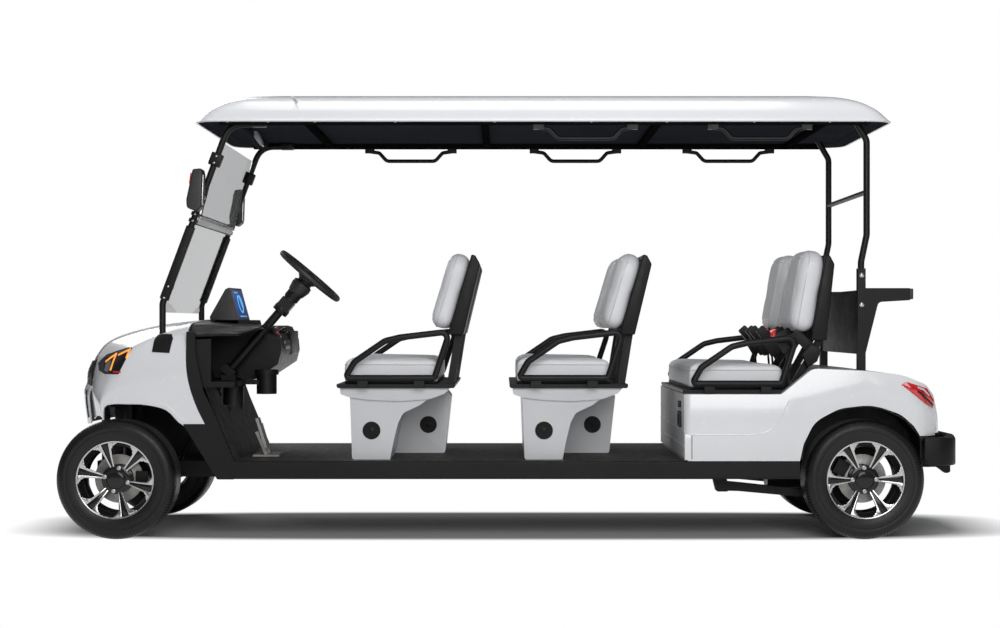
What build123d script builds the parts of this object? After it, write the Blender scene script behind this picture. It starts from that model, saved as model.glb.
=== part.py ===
from build123d import *
from collections import namedtuple
import math
import os

# Six-seat electric golf cart, built from its pieces. Millimetres, +Z up, the ground at Z = 0.
# The cart faces -X, so its left side is at -Y. The origin is on the ground, midway along the cart.

# ---------------------------------------------------------------- driving dimensions
ROW1_FRONT = 948.0  # front axle to the front edge of the first cushion
ROW_PITCH = 736.0  # from one row of seats to the next
ROW3_TO_REAR_AXLE = 745.0  # front edge of the last cushion to the rear axle
ROW_COUNT = 3
WHEELBASE = ROW1_FRONT + (ROW_COUNT - 1) * ROW_PITCH + ROW3_TO_REAR_AXLE
FRAME_TAIL = 400.0  # rear axle to the rear end of the frame
REAR_OVERHANG = FRAME_TAIL + 100.0  # rear axle to the tip of the tow hitch
BODY_HALF = 595.0  # half the width over the sills
FLOOR_TOP = 334.0
ROOF_LIP = 1766.0

# wheels
TYRE_RADIUS = 254.0
TYRE_WIDTH = 200.0
TYRE_BEAD_RADIUS = 153.0
TRACK_HALF = BODY_HALF - 85.0  # centre plane of a wheel from the middle of the cart
RIM_WIDTH = 186.0
RIM_FLANGE_RADIUS = 165.0
RIM_WALL = 6.0
HUB_RADIUS = 56.0
SPOKE_PAIRS = 6
SPOKE_THICKNESS = 22.0
SPOKE_WIDTH = 15.0
SPOKE_SPREAD = 9.0  # degrees from a pair's middle to each of its two spokes
SPINDLE_RADIUS = 17.0
BEARING_GAP = 0.05
DISC_RADIUS = 105.0
DISC_THICKNESS = 8.0
PART_GAP = 6.0  # room between a moving piece and its neighbours

# steering
KINGPIN_HALF = TRACK_HALF - 138.0
KINGPIN_RADIUS = 12.0
KNUCKLE_BOSS_RADIUS = 22.0
ARM_THICKNESS = 20.0
WHEEL_RIM_DIAMETER = 335.0
COLUMN_SIDE = -300.0  # the column stands in front of the left seat
COLUMN_TILT = 49.5  # degrees from level

# frame, floor and sills
RAIL_CENTRE = 223.0
RAIL_WIDTH = 54.0
RAIL_DEPTH = 70.0
DECK_THICKNESS = 24.0
SILL_WIDTH = 40.0
SILL_BOTTOM = 256.0
PANEL = 5.0  # wall of a moulded body panel

# seats
BENCH_HALF = BODY_HALF - 85.0
CUSHION_LENGTH = 420.0
CUSHION_HEIGHT = 112.0
TRAY_Z = 639.0
TRAY_THICKNESS = 17.0
TRAY_HALF = BENCH_HALF + 20.0
BACK_INNER = 100.0  # half the gap between the two backs of a row
BACK_OUTER = BENCH_HALF - 30.0
ROW3_DROP = 24.0  # the last bench is lower than the others
ARMREST_DIAMETER = 27.0
ARMREST_SIDE = TRAY_HALF + 20.0

# roof and struts
ROOF_HALF = BODY_HALF
ROOF_FRONT = 324.0  # behind the front axle
ROOF_REAR = 126.0  # behind the rear axle
ROOF_RAIL_SIDE = ROOF_HALF - 43.0
FRONT_STRUT_SIDE = BODY_HALF - 83.0
REAR_STRUT_SIDE = BODY_HALF - 130.0
STRUT_DIAMETER = 28.0
GLASS = 5.0

# ---------------------------------------------------------------- places that follow from them
FRONT_OVERHANG = TYRE_RADIUS
LENGTH = FRONT_OVERHANG + WHEELBASE + REAR_OVERHANG
FRONT_AXLE = FRONT_OVERHANG - LENGTH / 2
REAR_AXLE = FRONT_AXLE + WHEELBASE
AXLE_Z = TYRE_RADIUS
DECK_BOTTOM = FLOOR_TOP - DECK_THICKNESS
RAIL_TOP = DECK_BOTTOM
RAIL_BOTTOM = RAIL_TOP - RAIL_DEPTH
RAIL_OUTER = RAIL_CENTRE + RAIL_WIDTH / 2
SILL_INNER = BODY_HALF - SILL_WIDTH


def front(station):
    """X of a place measured rearwards from the front axle."""
    return FRONT_AXLE + station


def rear(station):
    """X of a place measured rearwards from the rear axle."""
    return REAR_AXLE + station


def row_x(row, station=0.0):
    """X of a place measured rearwards from the front edge of a row's cushion; rows count from 0."""
    return FRONT_AXLE + ROW1_FRONT + row * ROW_PITCH + station


# ---------------------------------------------------------------- shapes
def corner_arc(before, corner, after, radius):
    """Start, middle and end of the arc that rounds a corner."""
    to_before = (before - corner).normalized()
    to_after = (after - corner).normalized()
    half_angle = math.radians(to_before.get_angle(to_after)) / 2
    run = radius / math.tan(half_angle)
    reach = radius / math.sin(half_angle) - radius
    middle = corner + (to_before + to_after).normalized() * reach
    return corner + to_before * run, middle, corner + to_after * run


def rounded_wire(corners, closed):
    """Straight runs joined by tangent arcs; corners are (vector, radius)."""
    count = len(corners)
    arcs = []
    for index, (corner, radius) in enumerate(corners):
        at_end = not closed and index in (0, count - 1)
        if radius == 0 or at_end:
            arcs.append((corner, None, corner))
            continue
        before = corners[index - 1][0]
        after = corners[(index + 1) % count][0]
        arcs.append(corner_arc(before, corner, after, radius))
    edges = []
    for index, (start, middle, end) in enumerate(arcs):
        if middle is not None:
            edges.append(Edge.make_three_point_arc(start, middle, end))
        if index == count - 1 and not closed:
            break
        following = arcs[(index + 1) % count][0]
        if (following - end).length > 1e-4:
            edges.append(Edge.make_line(end, following))
    return Wire(edges)


def prism(outline, place, push):
    """A flat outline of (u, v) or (u, v, corner radius) pushed along a vector."""
    corners = [(place(point[0], point[1]), point[2] if len(point) > 2 else 0) for point in outline]
    face = Face(rounded_wire(corners, closed=True))
    return Solid.extrude(face, push)


def side_prism(outline, y0, y1):
    """An (x, z) outline pushed across the cart from y0 to y1."""
    return prism(outline, lambda u, v: Vector(u, y0, v), Vector(0, y1 - y0, 0))


def plan_prism(outline, z0, z1):
    """An (x, y) outline pushed upwards from z0 to z1."""
    return prism(outline, lambda u, v: Vector(u, v, z0), Vector(0, 0, z1 - z0))


def front_prism(outline, x0, x1):
    """A (y, z) outline pushed rearwards from x0 to x1."""
    return prism(outline, lambda u, v: Vector(x0, u, v), Vector(x1 - x0, 0, 0))


def block(x0, x1, y0, y1, z0, z1):
    """A box between two corners."""
    return Solid.make_box(x1 - x0, y1 - y0, z1 - z0, Plane((x0, y0, z0)))


def rod(start, end, radius):
    """A round bar from one point to another."""
    start = Vector(*start)
    end = Vector(*end)
    return Solid.make_cylinder(radius, (end - start).length, Plane(start, z_dir=end - start))


def bar(start, end, width, depth, across=(0, 1, 0)):
    """A flat bar from one point to another, its width across the cart."""
    start = Vector(*start)
    end = Vector(*end)
    plane = Plane(start, x_dir=across, z_dir=end - start)
    return extrude(plane * Rectangle(width, depth), amount=(end - start).length).solid()


def tube(points, diameter):
    """A bent round tube; points are (x, y, z, bend radius)."""
    corners = [(Vector(*point[:3]), point[3] if len(point) > 3 else 0) for point in points]
    path = rounded_wire(corners, closed=False)
    section = Plane(path @ 0, z_dir=path % 0) * Circle(diameter / 2)
    return sweep(section, path=path).solid()


def fuse(shapes):
    """One shape from several that touch."""
    first, *others = shapes
    return first.fuse(*others).clean() if others else first


def cut(shape, tools):
    """A shape less its tools."""
    return shape.cut(*tools).clean()


def mirrored(shape):
    """The same shape on the other side of the cart."""
    return shape.mirror(Plane.XZ)


def both(shapes):
    """Shapes with their opposite numbers."""
    return list(shapes) + [mirrored(shape) for shape in shapes]


def solids(shapes):
    """All the solids of a list of shapes."""
    found = []
    for shape in shapes:
        found.extend(shape.solids())
    return found


def skin_outline(run, wall):
    """A closed outline of one wall's thickness, from an open run; the wall lies to the run's right."""
    normals = []
    for (u0, v0), (u1, v1) in zip(run, run[1:]):
        length = math.hypot(u1 - u0, v1 - v0)
        normals.append(((v1 - v0) / length, -(u1 - u0) / length))
    inner = []
    for index, (u, v) in enumerate(run):
        before = normals[max(index - 1, 0)]
        after = normals[min(index, len(normals) - 1)]
        along = before[0] * after[0] + before[1] * after[1]
        scale = wall / (1 + along)
        inner.append((u + (before[0] + after[0]) * scale, v + (before[1] + after[1]) * scale))
    return list(run) + inner[::-1]


def skin_prism(run, wall, y0, y1):
    """A bent sheet: an open (x, z) run given a wall and pushed across the cart."""
    return side_prism(skin_outline(run, wall), y0, y1)


def skin_loft(rows, wall):
    """A hollow panel through (y, run) rows of equal length."""
    sections = []
    for y, run in rows:
        points = [Vector(u, y, v) for u, v in skin_outline(run, wall)]
        sections.append(Wire.make_polygon(points, close=True))
    return Solid.make_loft(sections, ruled=True)


NODES = {}


def node(name, shapes):
    """Keep a named piece of the cart, made of one or more solids."""
    NODES[name] = solids(shapes)


# ---------------------------------------------------------------- wheels and axles
TYRE_PROFILE = [  # (radius, share of the half width), the outside of the tyre from bead to bead
    (TYRE_BEAD_RADIUS, 0.80),
    (TYRE_BEAD_RADIUS + 15.0, 0.86),
    (TYRE_RADIUS - 49.0, 1.00),
    (TYRE_RADIUS - 15.0, 0.93),
    (TYRE_RADIUS, 0.68),
]
HUB_BACK = -8.0  # inner face of the hub and of the disc, from the wheel's centre plane
SPINDLE_END = 60.0
HUB_FACE = 88.0
CAP_RADIUS = 38.0
CAP_DEPTH = 8.0
FLANGE_OUTER = HUB_BACK - 2 * PART_GAP
FLANGE_THICKNESS = 10.0
FLANGE_RADIUS = 45.0


def spun(profile, x, y, side):
    """A (radius, offset) outline turned about a wheel's axle; offsets point out of the cart."""
    points = [Vector(x + radius, y + side * offset, AXLE_Z) for radius, offset in profile]
    face = Face(Wire.make_polygon(points, close=True))
    return revolve(face, Axis((x, y, AXLE_Z), (0, 1, 0)), 360).solid()


def tyre(x, side):
    """One road tyre."""
    half = TYRE_WIDTH / 2
    outer = [(radius, half * share) for radius, share in TYRE_PROFILE]
    inner = [(radius, -offset) for radius, offset in reversed(outer)]
    return spun(outer + inner, x, side * TRACK_HALF, side)


def rim(x, side):
    """A cast rim with pairs of spokes, and the brake disc on its hub."""
    y = side * TRACK_HALF
    half = RIM_WIDTH / 2
    bore = SPINDLE_RADIUS + BEARING_GAP
    seat = TYRE_BEAD_RADIUS
    lip = half - RIM_WALL
    barrel_profile = [
        (seat - RIM_WALL, -half),
        (RIM_FLANGE_RADIUS, -half),
        (RIM_FLANGE_RADIUS, -lip),
        (seat, -lip),
        (seat, lip),
        (RIM_FLANGE_RADIUS, lip),
        (RIM_FLANGE_RADIUS, half),
        (seat - RIM_WALL, half),
    ]
    barrel = spun(barrel_profile, x, y, side)
    hub_profile = [
        (bore, HUB_BACK),
        (DISC_RADIUS, HUB_BACK),
        (DISC_RADIUS, HUB_BACK + DISC_THICKNESS),
        (HUB_RADIUS, HUB_BACK + DISC_THICKNESS),
        (HUB_RADIUS, HUB_FACE),
        (CAP_RADIUS, HUB_FACE),
        (CAP_RADIUS, HUB_FACE + CAP_DEPTH),
        (0, HUB_FACE + CAP_DEPTH),
        (0, SPINDLE_END + 1),
        (bore, SPINDLE_END + 1),
    ]
    hub = spun(hub_profile, x, y, side)
    outer_face = y + side * HUB_FACE
    inner_face = outer_face - side * SPOKE_THICKNESS
    spokes = []
    for pair in range(SPOKE_PAIRS):
        for turn in (-SPOKE_SPREAD, SPOKE_SPREAD):
            angle = math.radians(360 / SPOKE_PAIRS * pair + turn)
            root = Vector(math.cos(angle), 0, math.sin(angle)) * (HUB_RADIUS - 3)
            tip = Vector(math.cos(angle), 0, math.sin(angle)) * (seat - RIM_WALL / 2)
            middle = Vector(x, (outer_face + inner_face) / 2, AXLE_Z)
            spokes.append(bar(middle + root, middle + tip, SPOKE_THICKNESS, SPOKE_WIDTH))
    return fuse([barrel, hub] + spokes)


def brake_parts(x, side, angle):
    """The spindle, its flange and a caliper astride the disc, as solids that touch."""
    y = side * TRACK_HALF
    flange_inner = FLANGE_OUTER - FLANGE_THICKNESS
    start = (x, y + side * flange_inner, AXLE_Z)
    middle = (x, y + side * FLANGE_OUTER, AXLE_Z)
    end = (x, y + side * SPINDLE_END, AXLE_Z)
    flange = rod(start, middle, FLANGE_RADIUS)
    spindle = rod(start, end, SPINDLE_RADIUS)
    y_low, y_high = sorted((y + side * flange_inner, y + side * FLANGE_OUTER))
    bracket = block(x, x + DISC_RADIUS, y_low, y_high, AXLE_Z - 20, AXLE_Z + 20)
    y_low, y_high = sorted((y + side * flange_inner, y + side * (HUB_BACK + DISC_THICKNESS + 3 * PART_GAP)))
    caliper = block(x + DISC_RADIUS - 32, x + DISC_RADIUS + 22, y_low, y_high, AXLE_Z - 32, AXLE_Z + 32)
    y_low, y_high = sorted((y + side * (HUB_BACK - PART_GAP), y + side * (HUB_BACK + DISC_THICKNESS + PART_GAP)))
    slot = block(x, x + DISC_RADIUS + PART_GAP, y_low, y_high, AXLE_Z - 40, AXLE_Z + 40)
    caliper = cut(caliper, [slot])
    axis = Axis((x, y, AXLE_Z), (0, 1, 0))
    return [flange, spindle, bracket.rotate(axis, angle), caliper.rotate(axis, angle)]


LOWER_ARM_Z = AXLE_Z - 42.0
UPPER_ARM_Z = AXLE_Z + 22.0
ARM_EYE_RADIUS = 26.0
BOSS_BOTTOM = LOWER_ARM_Z + ARM_THICKNESS + PART_GAP
BOSS_TOP = UPPER_ARM_Z - PART_GAP
STEER_ARM_LENGTH = 110.0
FRONT_CALIPER_ANGLE = 0.0
REAR_CALIPER_ANGLE = 208.0
STRUT_HEAD_Z = 560.0
STRUT_SIDE = RAIL_OUTER + 40.0
HOUSING_RADIUS = 88.0
AXLE_TUBE_RADIUS = 38.0
MOTOR_RADIUS = 84.0
MOTOR_LENGTH = 250.0
ARM_SIDE = TRACK_HALF - 148.0
ARM_WIDTH = 34.0
ARM_PIVOT = ROW3_TO_REAR_AXLE - 174.0  # ahead of the rear axle
ARM_PIVOT_Z = 212.0
COIL_SIDE = RAIL_OUTER + 50.0
KICK_LOW = 640.0  # ahead of the rear axle, where the rails begin to rise
KICK_HIGH = 400.0
KICK_RISE = 90.0


def knuckle(side):
    """A steered upright: its boss and pins on the kingpin line, spindle, caliper and steering arm."""
    x = FRONT_AXLE
    y = side * KINGPIN_HALF
    pin = rod((x, y, LOWER_ARM_Z), (x, y, UPPER_ARM_Z + ARM_THICKNESS), KINGPIN_RADIUS)
    boss = rod((x, y, BOSS_BOTTOM), (x, y, BOSS_TOP), KNUCKLE_BOSS_RADIUS)
    flange_y = side * (TRACK_HALF + FLANGE_OUTER - FLANGE_THICKNESS)
    neck = rod((x, y, AXLE_Z), (x, flange_y, AXLE_Z), SPINDLE_RADIUS)
    arm_end = (x + STEER_ARM_LENGTH, y - side * 22, AXLE_Z - 4)
    arm = bar((x, y, AXLE_Z - 4), arm_end, 22, 16)
    return fuse([boss, pin, neck, arm] + brake_parts(x, side, FRONT_CALIPER_ANGLE))


def front_suspension(side):
    """Upper and lower arms with the kingpin's eyes, a crossmember stub and a coil strut."""
    x = FRONT_AXLE
    y = side * KINGPIN_HALF
    root = side * RAIL_OUTER
    inner = side * (RAIL_OUTER - RAIL_WIDTH)
    pieces = []
    for z in (LOWER_ARM_Z, UPPER_ARM_Z):
        eye = rod((x, y, z), (x, y, z + ARM_THICKNESS), ARM_EYE_RADIUS)
        outline = [(x - 100, root), (x + 100, root), (x + 20, y), (x - 20, y)]
        window = [(x - 50, root + side * 14), (x + 50, root + side * 14), (x, y - side * 46)]
        arm = plan_prism(outline, z, z + ARM_THICKNESS)
        hole = plan_prism(window, z - 1, z + ARM_THICKNESS + 1)
        pieces.append(cut(fuse([arm, eye]), [hole]))
    low, high = sorted((inner, root))
    hanger = block(x - 100, x + 100, low, high, LOWER_ARM_Z, RAIL_BOTTOM)
    bore = rod((x, y, LOWER_ARM_Z - 1), (x, y, UPPER_ARM_Z + ARM_THICKNESS + 1), KINGPIN_RADIUS + BEARING_GAP)
    strut_foot = (x, side * STRUT_SIDE, UPPER_ARM_Z + ARM_THICKNESS - 2)
    strut_head = (x, side * STRUT_SIDE, STRUT_HEAD_Z)
    strut = rod(strut_foot, strut_head, 26)
    lower = cut(fuse([pieces[0], hanger]), [bore])
    upper = cut(fuse([pieces[1], strut]), [bore])
    return [lower, upper]


def rear_axle():
    """The live axle: tube, final drive housing, flanges, spindles and calipers."""
    x = REAR_AXLE
    reach = TRACK_HALF + FLANGE_OUTER - FLANGE_THICKNESS
    housing = rod((x, -62, AXLE_Z), (x, 62, AXLE_Z), HOUSING_RADIUS)
    shaft = rod((x, -reach, AXLE_Z), (x, reach, AXLE_Z), AXLE_TUBE_RADIUS)
    ends = []
    for side in (-1, 1):
        ends += brake_parts(x, side, REAR_CALIPER_ANGLE)
    return fuse([shaft, housing] + ends)


def drive_motor():
    """The motor, one plain drum against the final drive's housing."""
    front_end = (REAR_AXLE - HOUSING_RADIUS - MOTOR_LENGTH, 0, AXLE_Z)
    rear_end = (REAR_AXLE - HOUSING_RADIUS / 2, 0, AXLE_Z)
    housing = rod((REAR_AXLE, -90, AXLE_Z), (REAR_AXLE, 90, AXLE_Z), HOUSING_RADIUS)
    return cut(rod(front_end, rear_end, MOTOR_RADIUS), [housing])


def rear_suspension(side):
    """A trailing arm with its pivot bracket, a saddle on the axle and a coil strut."""
    y0, y1 = sorted((side * (ARM_SIDE - ARM_WIDTH / 2), side * (ARM_SIDE + ARM_WIDTH / 2)))
    saddle_top = AXLE_Z - AXLE_TUBE_RADIUS + 0.5
    arm_outline = [
        (rear(-ARM_PIVOT - 30), ARM_PIVOT_Z - 22, 10), (rear(-ARM_PIVOT + 60), ARM_PIVOT_Z - 24, 20),
        (rear(-160), 156, 20), (rear(60), 170, 10), (rear(60), saddle_top), (rear(-60), saddle_top),
        (rear(-180), 190, 20), (rear(-ARM_PIVOT + 60), ARM_PIVOT_Z + 14, 20),
        (rear(-ARM_PIVOT - 30), ARM_PIVOT_Z + 22, 10),
    ]
    arm = side_prism(arm_outline, y0, y1)
    axle_hole = rod((REAR_AXLE, y0 - 1, AXLE_Z), (REAR_AXLE, y1 + 1, AXLE_Z), AXLE_TUBE_RADIUS)
    bracket_outline = [
        (rear(-ARM_PIVOT - 55), RAIL_TOP - CROSS_DEPTH), (rear(-ARM_PIVOT - 34), ARM_PIVOT_Z - 26, 12),
        (rear(-ARM_PIVOT + 24), ARM_PIVOT_Z - 26, 12), (rear(-ARM_PIVOT + 5), RAIL_TOP - CROSS_DEPTH),
    ]
    ears = [side_prism(bracket_outline, y0 - 6, y0), side_prism(bracket_outline, y1, y1 + 6)]
    head_z = RAIL_TOP + KICK_RISE - 20
    coil_foot = (REAR_AXLE, side * COIL_SIDE, AXLE_Z + AXLE_TUBE_RADIUS - 3)
    inner_end = (REAR_AXLE, side * (COIL_SIDE - 50), AXLE_Z)
    axle_run = rod(inner_end, (REAR_AXLE, side * (COIL_SIDE + 50), AXLE_Z), AXLE_TUBE_RADIUS)
    coil = cut(rod(coil_foot, (REAR_AXLE, side * COIL_SIDE, head_z), 28), [axle_run])
    y_low, y_high = sorted((side * RAIL_OUTER, side * (COIL_SIDE + 32)))
    shelf = block(rear(-40), rear(40), y_low, y_high, head_z, head_z + 20)
    return [fuse([cut(arm, [axle_hole])] + ears), fuse([coil, shelf])]


# ---------------------------------------------------------------- frame, floor and sills
CROSS_STATIONS = (  # (place along the cart, reaches out to the sills)
    (front(520), True),
    (row_x(0, 100), True),
    (row_x(1, 100), True),
    (row_x(2, 60), True),
    (rear(-ARM_PIVOT - 25), True),
)
CROSS_WIDTH = 60.0
CROSS_DEPTH = 40.0
FRAME_NOSE = -150.0
NOSE_MOUNT_Z = 560.0
TOWER_REACH = 66.0  # the strut tower's cap stands out from the rail
DECK_FRONT = 470.0
DECK_REAR_OVER = 20.0  # the floor runs this far under the rear body
SILL_FRONT = 500.0
SILL_REAR_GAP = 276.0  # sill's end ahead of the rear axle


def chassis_frame():
    """Two box rails that rise over the rear axle, with cross members and front strut towers."""
    rail_outline = [
        (front(FRAME_NOSE), RAIL_BOTTOM), (rear(-KICK_LOW), RAIL_BOTTOM),
        (rear(-KICK_HIGH), RAIL_BOTTOM + KICK_RISE), (rear(FRAME_TAIL), RAIL_BOTTOM + KICK_RISE),
        (rear(FRAME_TAIL), RAIL_TOP + KICK_RISE), (rear(-KICK_HIGH), RAIL_TOP + KICK_RISE),
        (rear(-KICK_LOW), RAIL_TOP), (front(FRAME_NOSE), RAIL_TOP),
    ]
    inner = RAIL_CENTRE - RAIL_WIDTH / 2
    pieces = both([side_prism(rail_outline, inner, RAIL_OUTER)])
    for x, to_sills in CROSS_STATIONS:
        reach = SILL_INNER if to_sills else RAIL_OUTER
        x0, x1 = x - CROSS_WIDTH / 2, x + CROSS_WIDTH / 2
        pieces.append(block(x0, x1, -reach, reach, RAIL_TOP - CROSS_DEPTH, RAIL_TOP))
    for x, z in ((front(FRAME_NOSE + 30), RAIL_BOTTOM), (rear(FRAME_TAIL - 30), RAIL_BOTTOM + KICK_RISE)):
        pieces.append(block(x - 30, x + 30, -RAIL_OUTER, RAIL_OUTER, z, z + RAIL_DEPTH))
    tower = block(front(-45), front(45), RAIL_OUTER - 20, RAIL_OUTER, RAIL_TOP, STRUT_HEAD_Z + 20)
    cap = block(front(-45), front(45), RAIL_OUTER - 20, RAIL_OUTER + TOWER_REACH, STRUT_HEAD_Z, STRUT_HEAD_Z + 20)
    nose = block(front(FRAME_NOSE), front(FRAME_NOSE + 30), 120, 160, RAIL_TOP, NOSE_MOUNT_Z)
    nose_arm = block(front(FRAME_NOSE - 38), front(FRAME_NOSE + 30), 120, 160, NOSE_MOUNT_Z - 30, NOSE_MOUNT_Z)
    pieces += both([tower, cap, nose, nose_arm])
    return fuse(pieces)


def floor_deck():
    """The ribbed floor board between the sills, on the frame."""
    return block(front(DECK_FRONT), row_x(2, DECK_REAR_OVER), -SILL_INNER, SILL_INNER, DECK_BOTTOM, FLOOR_TOP)


def side_sill():
    """A moulded sill along the floor's edge."""
    section = [
        (SILL_INNER, SILL_BOTTOM + 8, 4), (BODY_HALF - 8, SILL_BOTTOM, 6), (BODY_HALF, SILL_BOTTOM + 10, 6),
        (BODY_HALF, FLOOR_TOP - 6, 5), (BODY_HALF - 6, FLOOR_TOP), (SILL_INNER, FLOOR_TOP),
    ]
    return front_prism(section, front(SILL_FRONT), rear(-SILL_REAR_GAP))


# ---------------------------------------------------------------- front body
COWL_HALF = BODY_HALF - 5.0
NOSE_HALF = COWL_HALF - 240.0  # half the width of the nose, grille and bumper
HOOD_CENTRE = [(-206, 744), (-192, 771), (-147, 826), (-56, 869), (104, 907), (300, 930)]
HOOD_SHOULDER = [(-125, 760), (-112, 785), (-75, 826), (0, 858), (120, 890), (300, 918)]
FENDER_ROWS = [  # (half width, run from the fender's lower edge over the top to the rear edge)
    (NOSE_HALF, [(-140, 500), (-150, 640)] + HOOD_SHOULDER),
    (COWL_HALF - 110, [
        (-100, 520), (-112, 630), (-50, 745), (-30, 772), (10, 808), (75, 842), (165, 878), (300, 908),
    ]),
    (COWL_HALF - 30, [(-65, 520), (-76, 600), (-12, 715), (10, 745), (45, 780), (95, 812), (180, 845), (300, 868)]),
    (COWL_HALF, [(-52, 508), (-62, 590), (0, 660), (20, 682), (55, 706), (110, 732), (190, 764), (298, 800)]),
]
FENDER_ARCH = [  # the fender's edge around the wheel and up its rear edge, with corner radii
    (-48, 560, 12), (-14, 576, 12), (150, 576, 60), (235, 548, 60), (286, 490), (378, 490),
    (345, 556, 60), (310, 660, 80), (298, 760),
]
GRILLE_CENTRE = [(-229, 662), (-224, 703), (-206, 744)]
GRILLE_SIDE = [(-152, 642), (-150, 703), (-130, 755)]
BUMPER_CENTRE = [(-226, 470), (-245, 600), (-229, 662)]
BUMPER_SIDE = [(-152, 480), (-164, 600), (-152, 642)]
TRIM_THICKNESS = 22.0
TRIM_EDGE = [  # rear edge of the band behind the cowl, from the top down to the floor, with corner radii
    (338, 876), (338, 790, 200), (371, 629, 120), (405, 562, 60), (500, 334),
]


def at_front(run):
    """A run of places behind the front axle, as X."""
    return [(front(point[0]),) + tuple(point[1:]) for point in run]


def front_cowl():
    """The white cowl: a hood between two fenders with their open wheel arches."""
    rows = [(y, at_front(run)) for y, run in FENDER_ROWS]
    fender = skin_loft(rows, PANEL)
    shoulder = at_front(HOOD_SHOULDER)
    hood_rows = [(-NOSE_HALF, shoulder), (0.0, at_front(HOOD_CENTRE)), (NOSE_HALF, shoulder)]
    hood = skin_loft(hood_rows, PANEL)
    outer_run = at_front(FENDER_ROWS[-1][1])
    side_outline = at_front(FENDER_ARCH) + outer_run[::-1]
    side = side_prism(side_outline, COWL_HALF - PANEL, COWL_HALF)
    return fuse([hood] + both([fender, side]))


def nose_panel(centre, side_run):
    """A curved panel across the nose, between the fenders."""
    rows = [(-NOSE_HALF, at_front(side_run)), (0.0, at_front(centre)), (NOSE_HALF, at_front(side_run))]
    return skin_loft(rows, PANEL)


def headlight(side):
    """A lamp lens lying on the fender's front corner."""
    rows = [(y, at_front(run)) for y, run in FENDER_ROWS]
    layer = skin_loft(rows, -PANEL)
    lamp = at_front([(-120, 742), (-44, 800), (40, 812), (0, 701), (-60, 698), (-104, 712)])
    lens = side_prism(lamp, NOSE_HALF + 4, COWL_HALF - 42).intersect(layer).solid()
    return lens if side > 0 else mirrored(lens)


def cowl_trim(cowl):
    """The black band behind the cowl, running down to the sill, each side."""
    cowl_edge = [(286, 490), (378, 490), (345, 556, 60), (310, 660, 80), (298, 760), (300, 880)]
    lower = [(500, 256), (430, 256, 12)]
    outline = at_front(cowl_edge) + at_front(TRIM_EDGE) + at_front(lower)
    band = side_prism(outline, BODY_HALF - TRIM_THICKNESS, BODY_HALF)
    return both([cut(band, [cowl])])


INNER_HALF = BODY_HALF - TRIM_THICKNESS  # between the trim bands
BULGE_LEFT = -232.0
BULGE_RIGHT = INNER_HALF - 53.0
CHEEK = 8.0
SHELF = (352.0, 500.0)  # the shelf's front and rear edge
SHELF_TOP = 668.0
SIDE_BOX = [(330, 845), (401, 850), (401, 652), (358, 652)]  # the dash's end panel behind each trim band
CUP_RADIUS = 44.0
CUP_WALL = 5.0
CUPS = [  # (behind the front axle, y, bottom, top)
    (478.0, BULGE_LEFT - 213.0, 566.0, SHELF_TOP),
    (600.0, BULGE_LEFT - 53.0, 606.0, 712.0),
]
DISPLAY_HALF = 112.0
DASH_TOP_ROWS = [  # (half width, run rearwards over the dash top)
    (0.0, [(304, 929), (345, 926), (470, 915), (610, 903)]),
    (INNER_HALF - 223, [(304, 917), (345, 915), (470, 909), (610, 902)]),
    (INNER_HALF - 93, [(304, 907), (345, 906), (470, 903), (600, 900)]),
    (INNER_HALF, [(304, 866), (345, 868), (440, 872), (520, 872)]),
]
FIREWALL_RUN = [(500, 334), (405, 560), (376, 640), (352, 700), (322, 862)]
COLUMN_FOOT = (433.0, 702.0)
COLUMN_LENGTH = 552.0
SHAFT_RADIUS = 9.0
SHAFT_HOLE = 26.0
RACK_X = 150.0
RACK_Z = 222.0
RACK_RADIUS = 16.0


def column_point(distance):
    """A place on the steering column's line, upwards from its foot."""
    tilt = math.radians(COLUMN_TILT)
    x = front(COLUMN_FOOT[0]) + distance * math.cos(tilt)
    return (x, COLUMN_SIDE, COLUMN_FOOT[1] + distance * math.sin(tilt))


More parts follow.
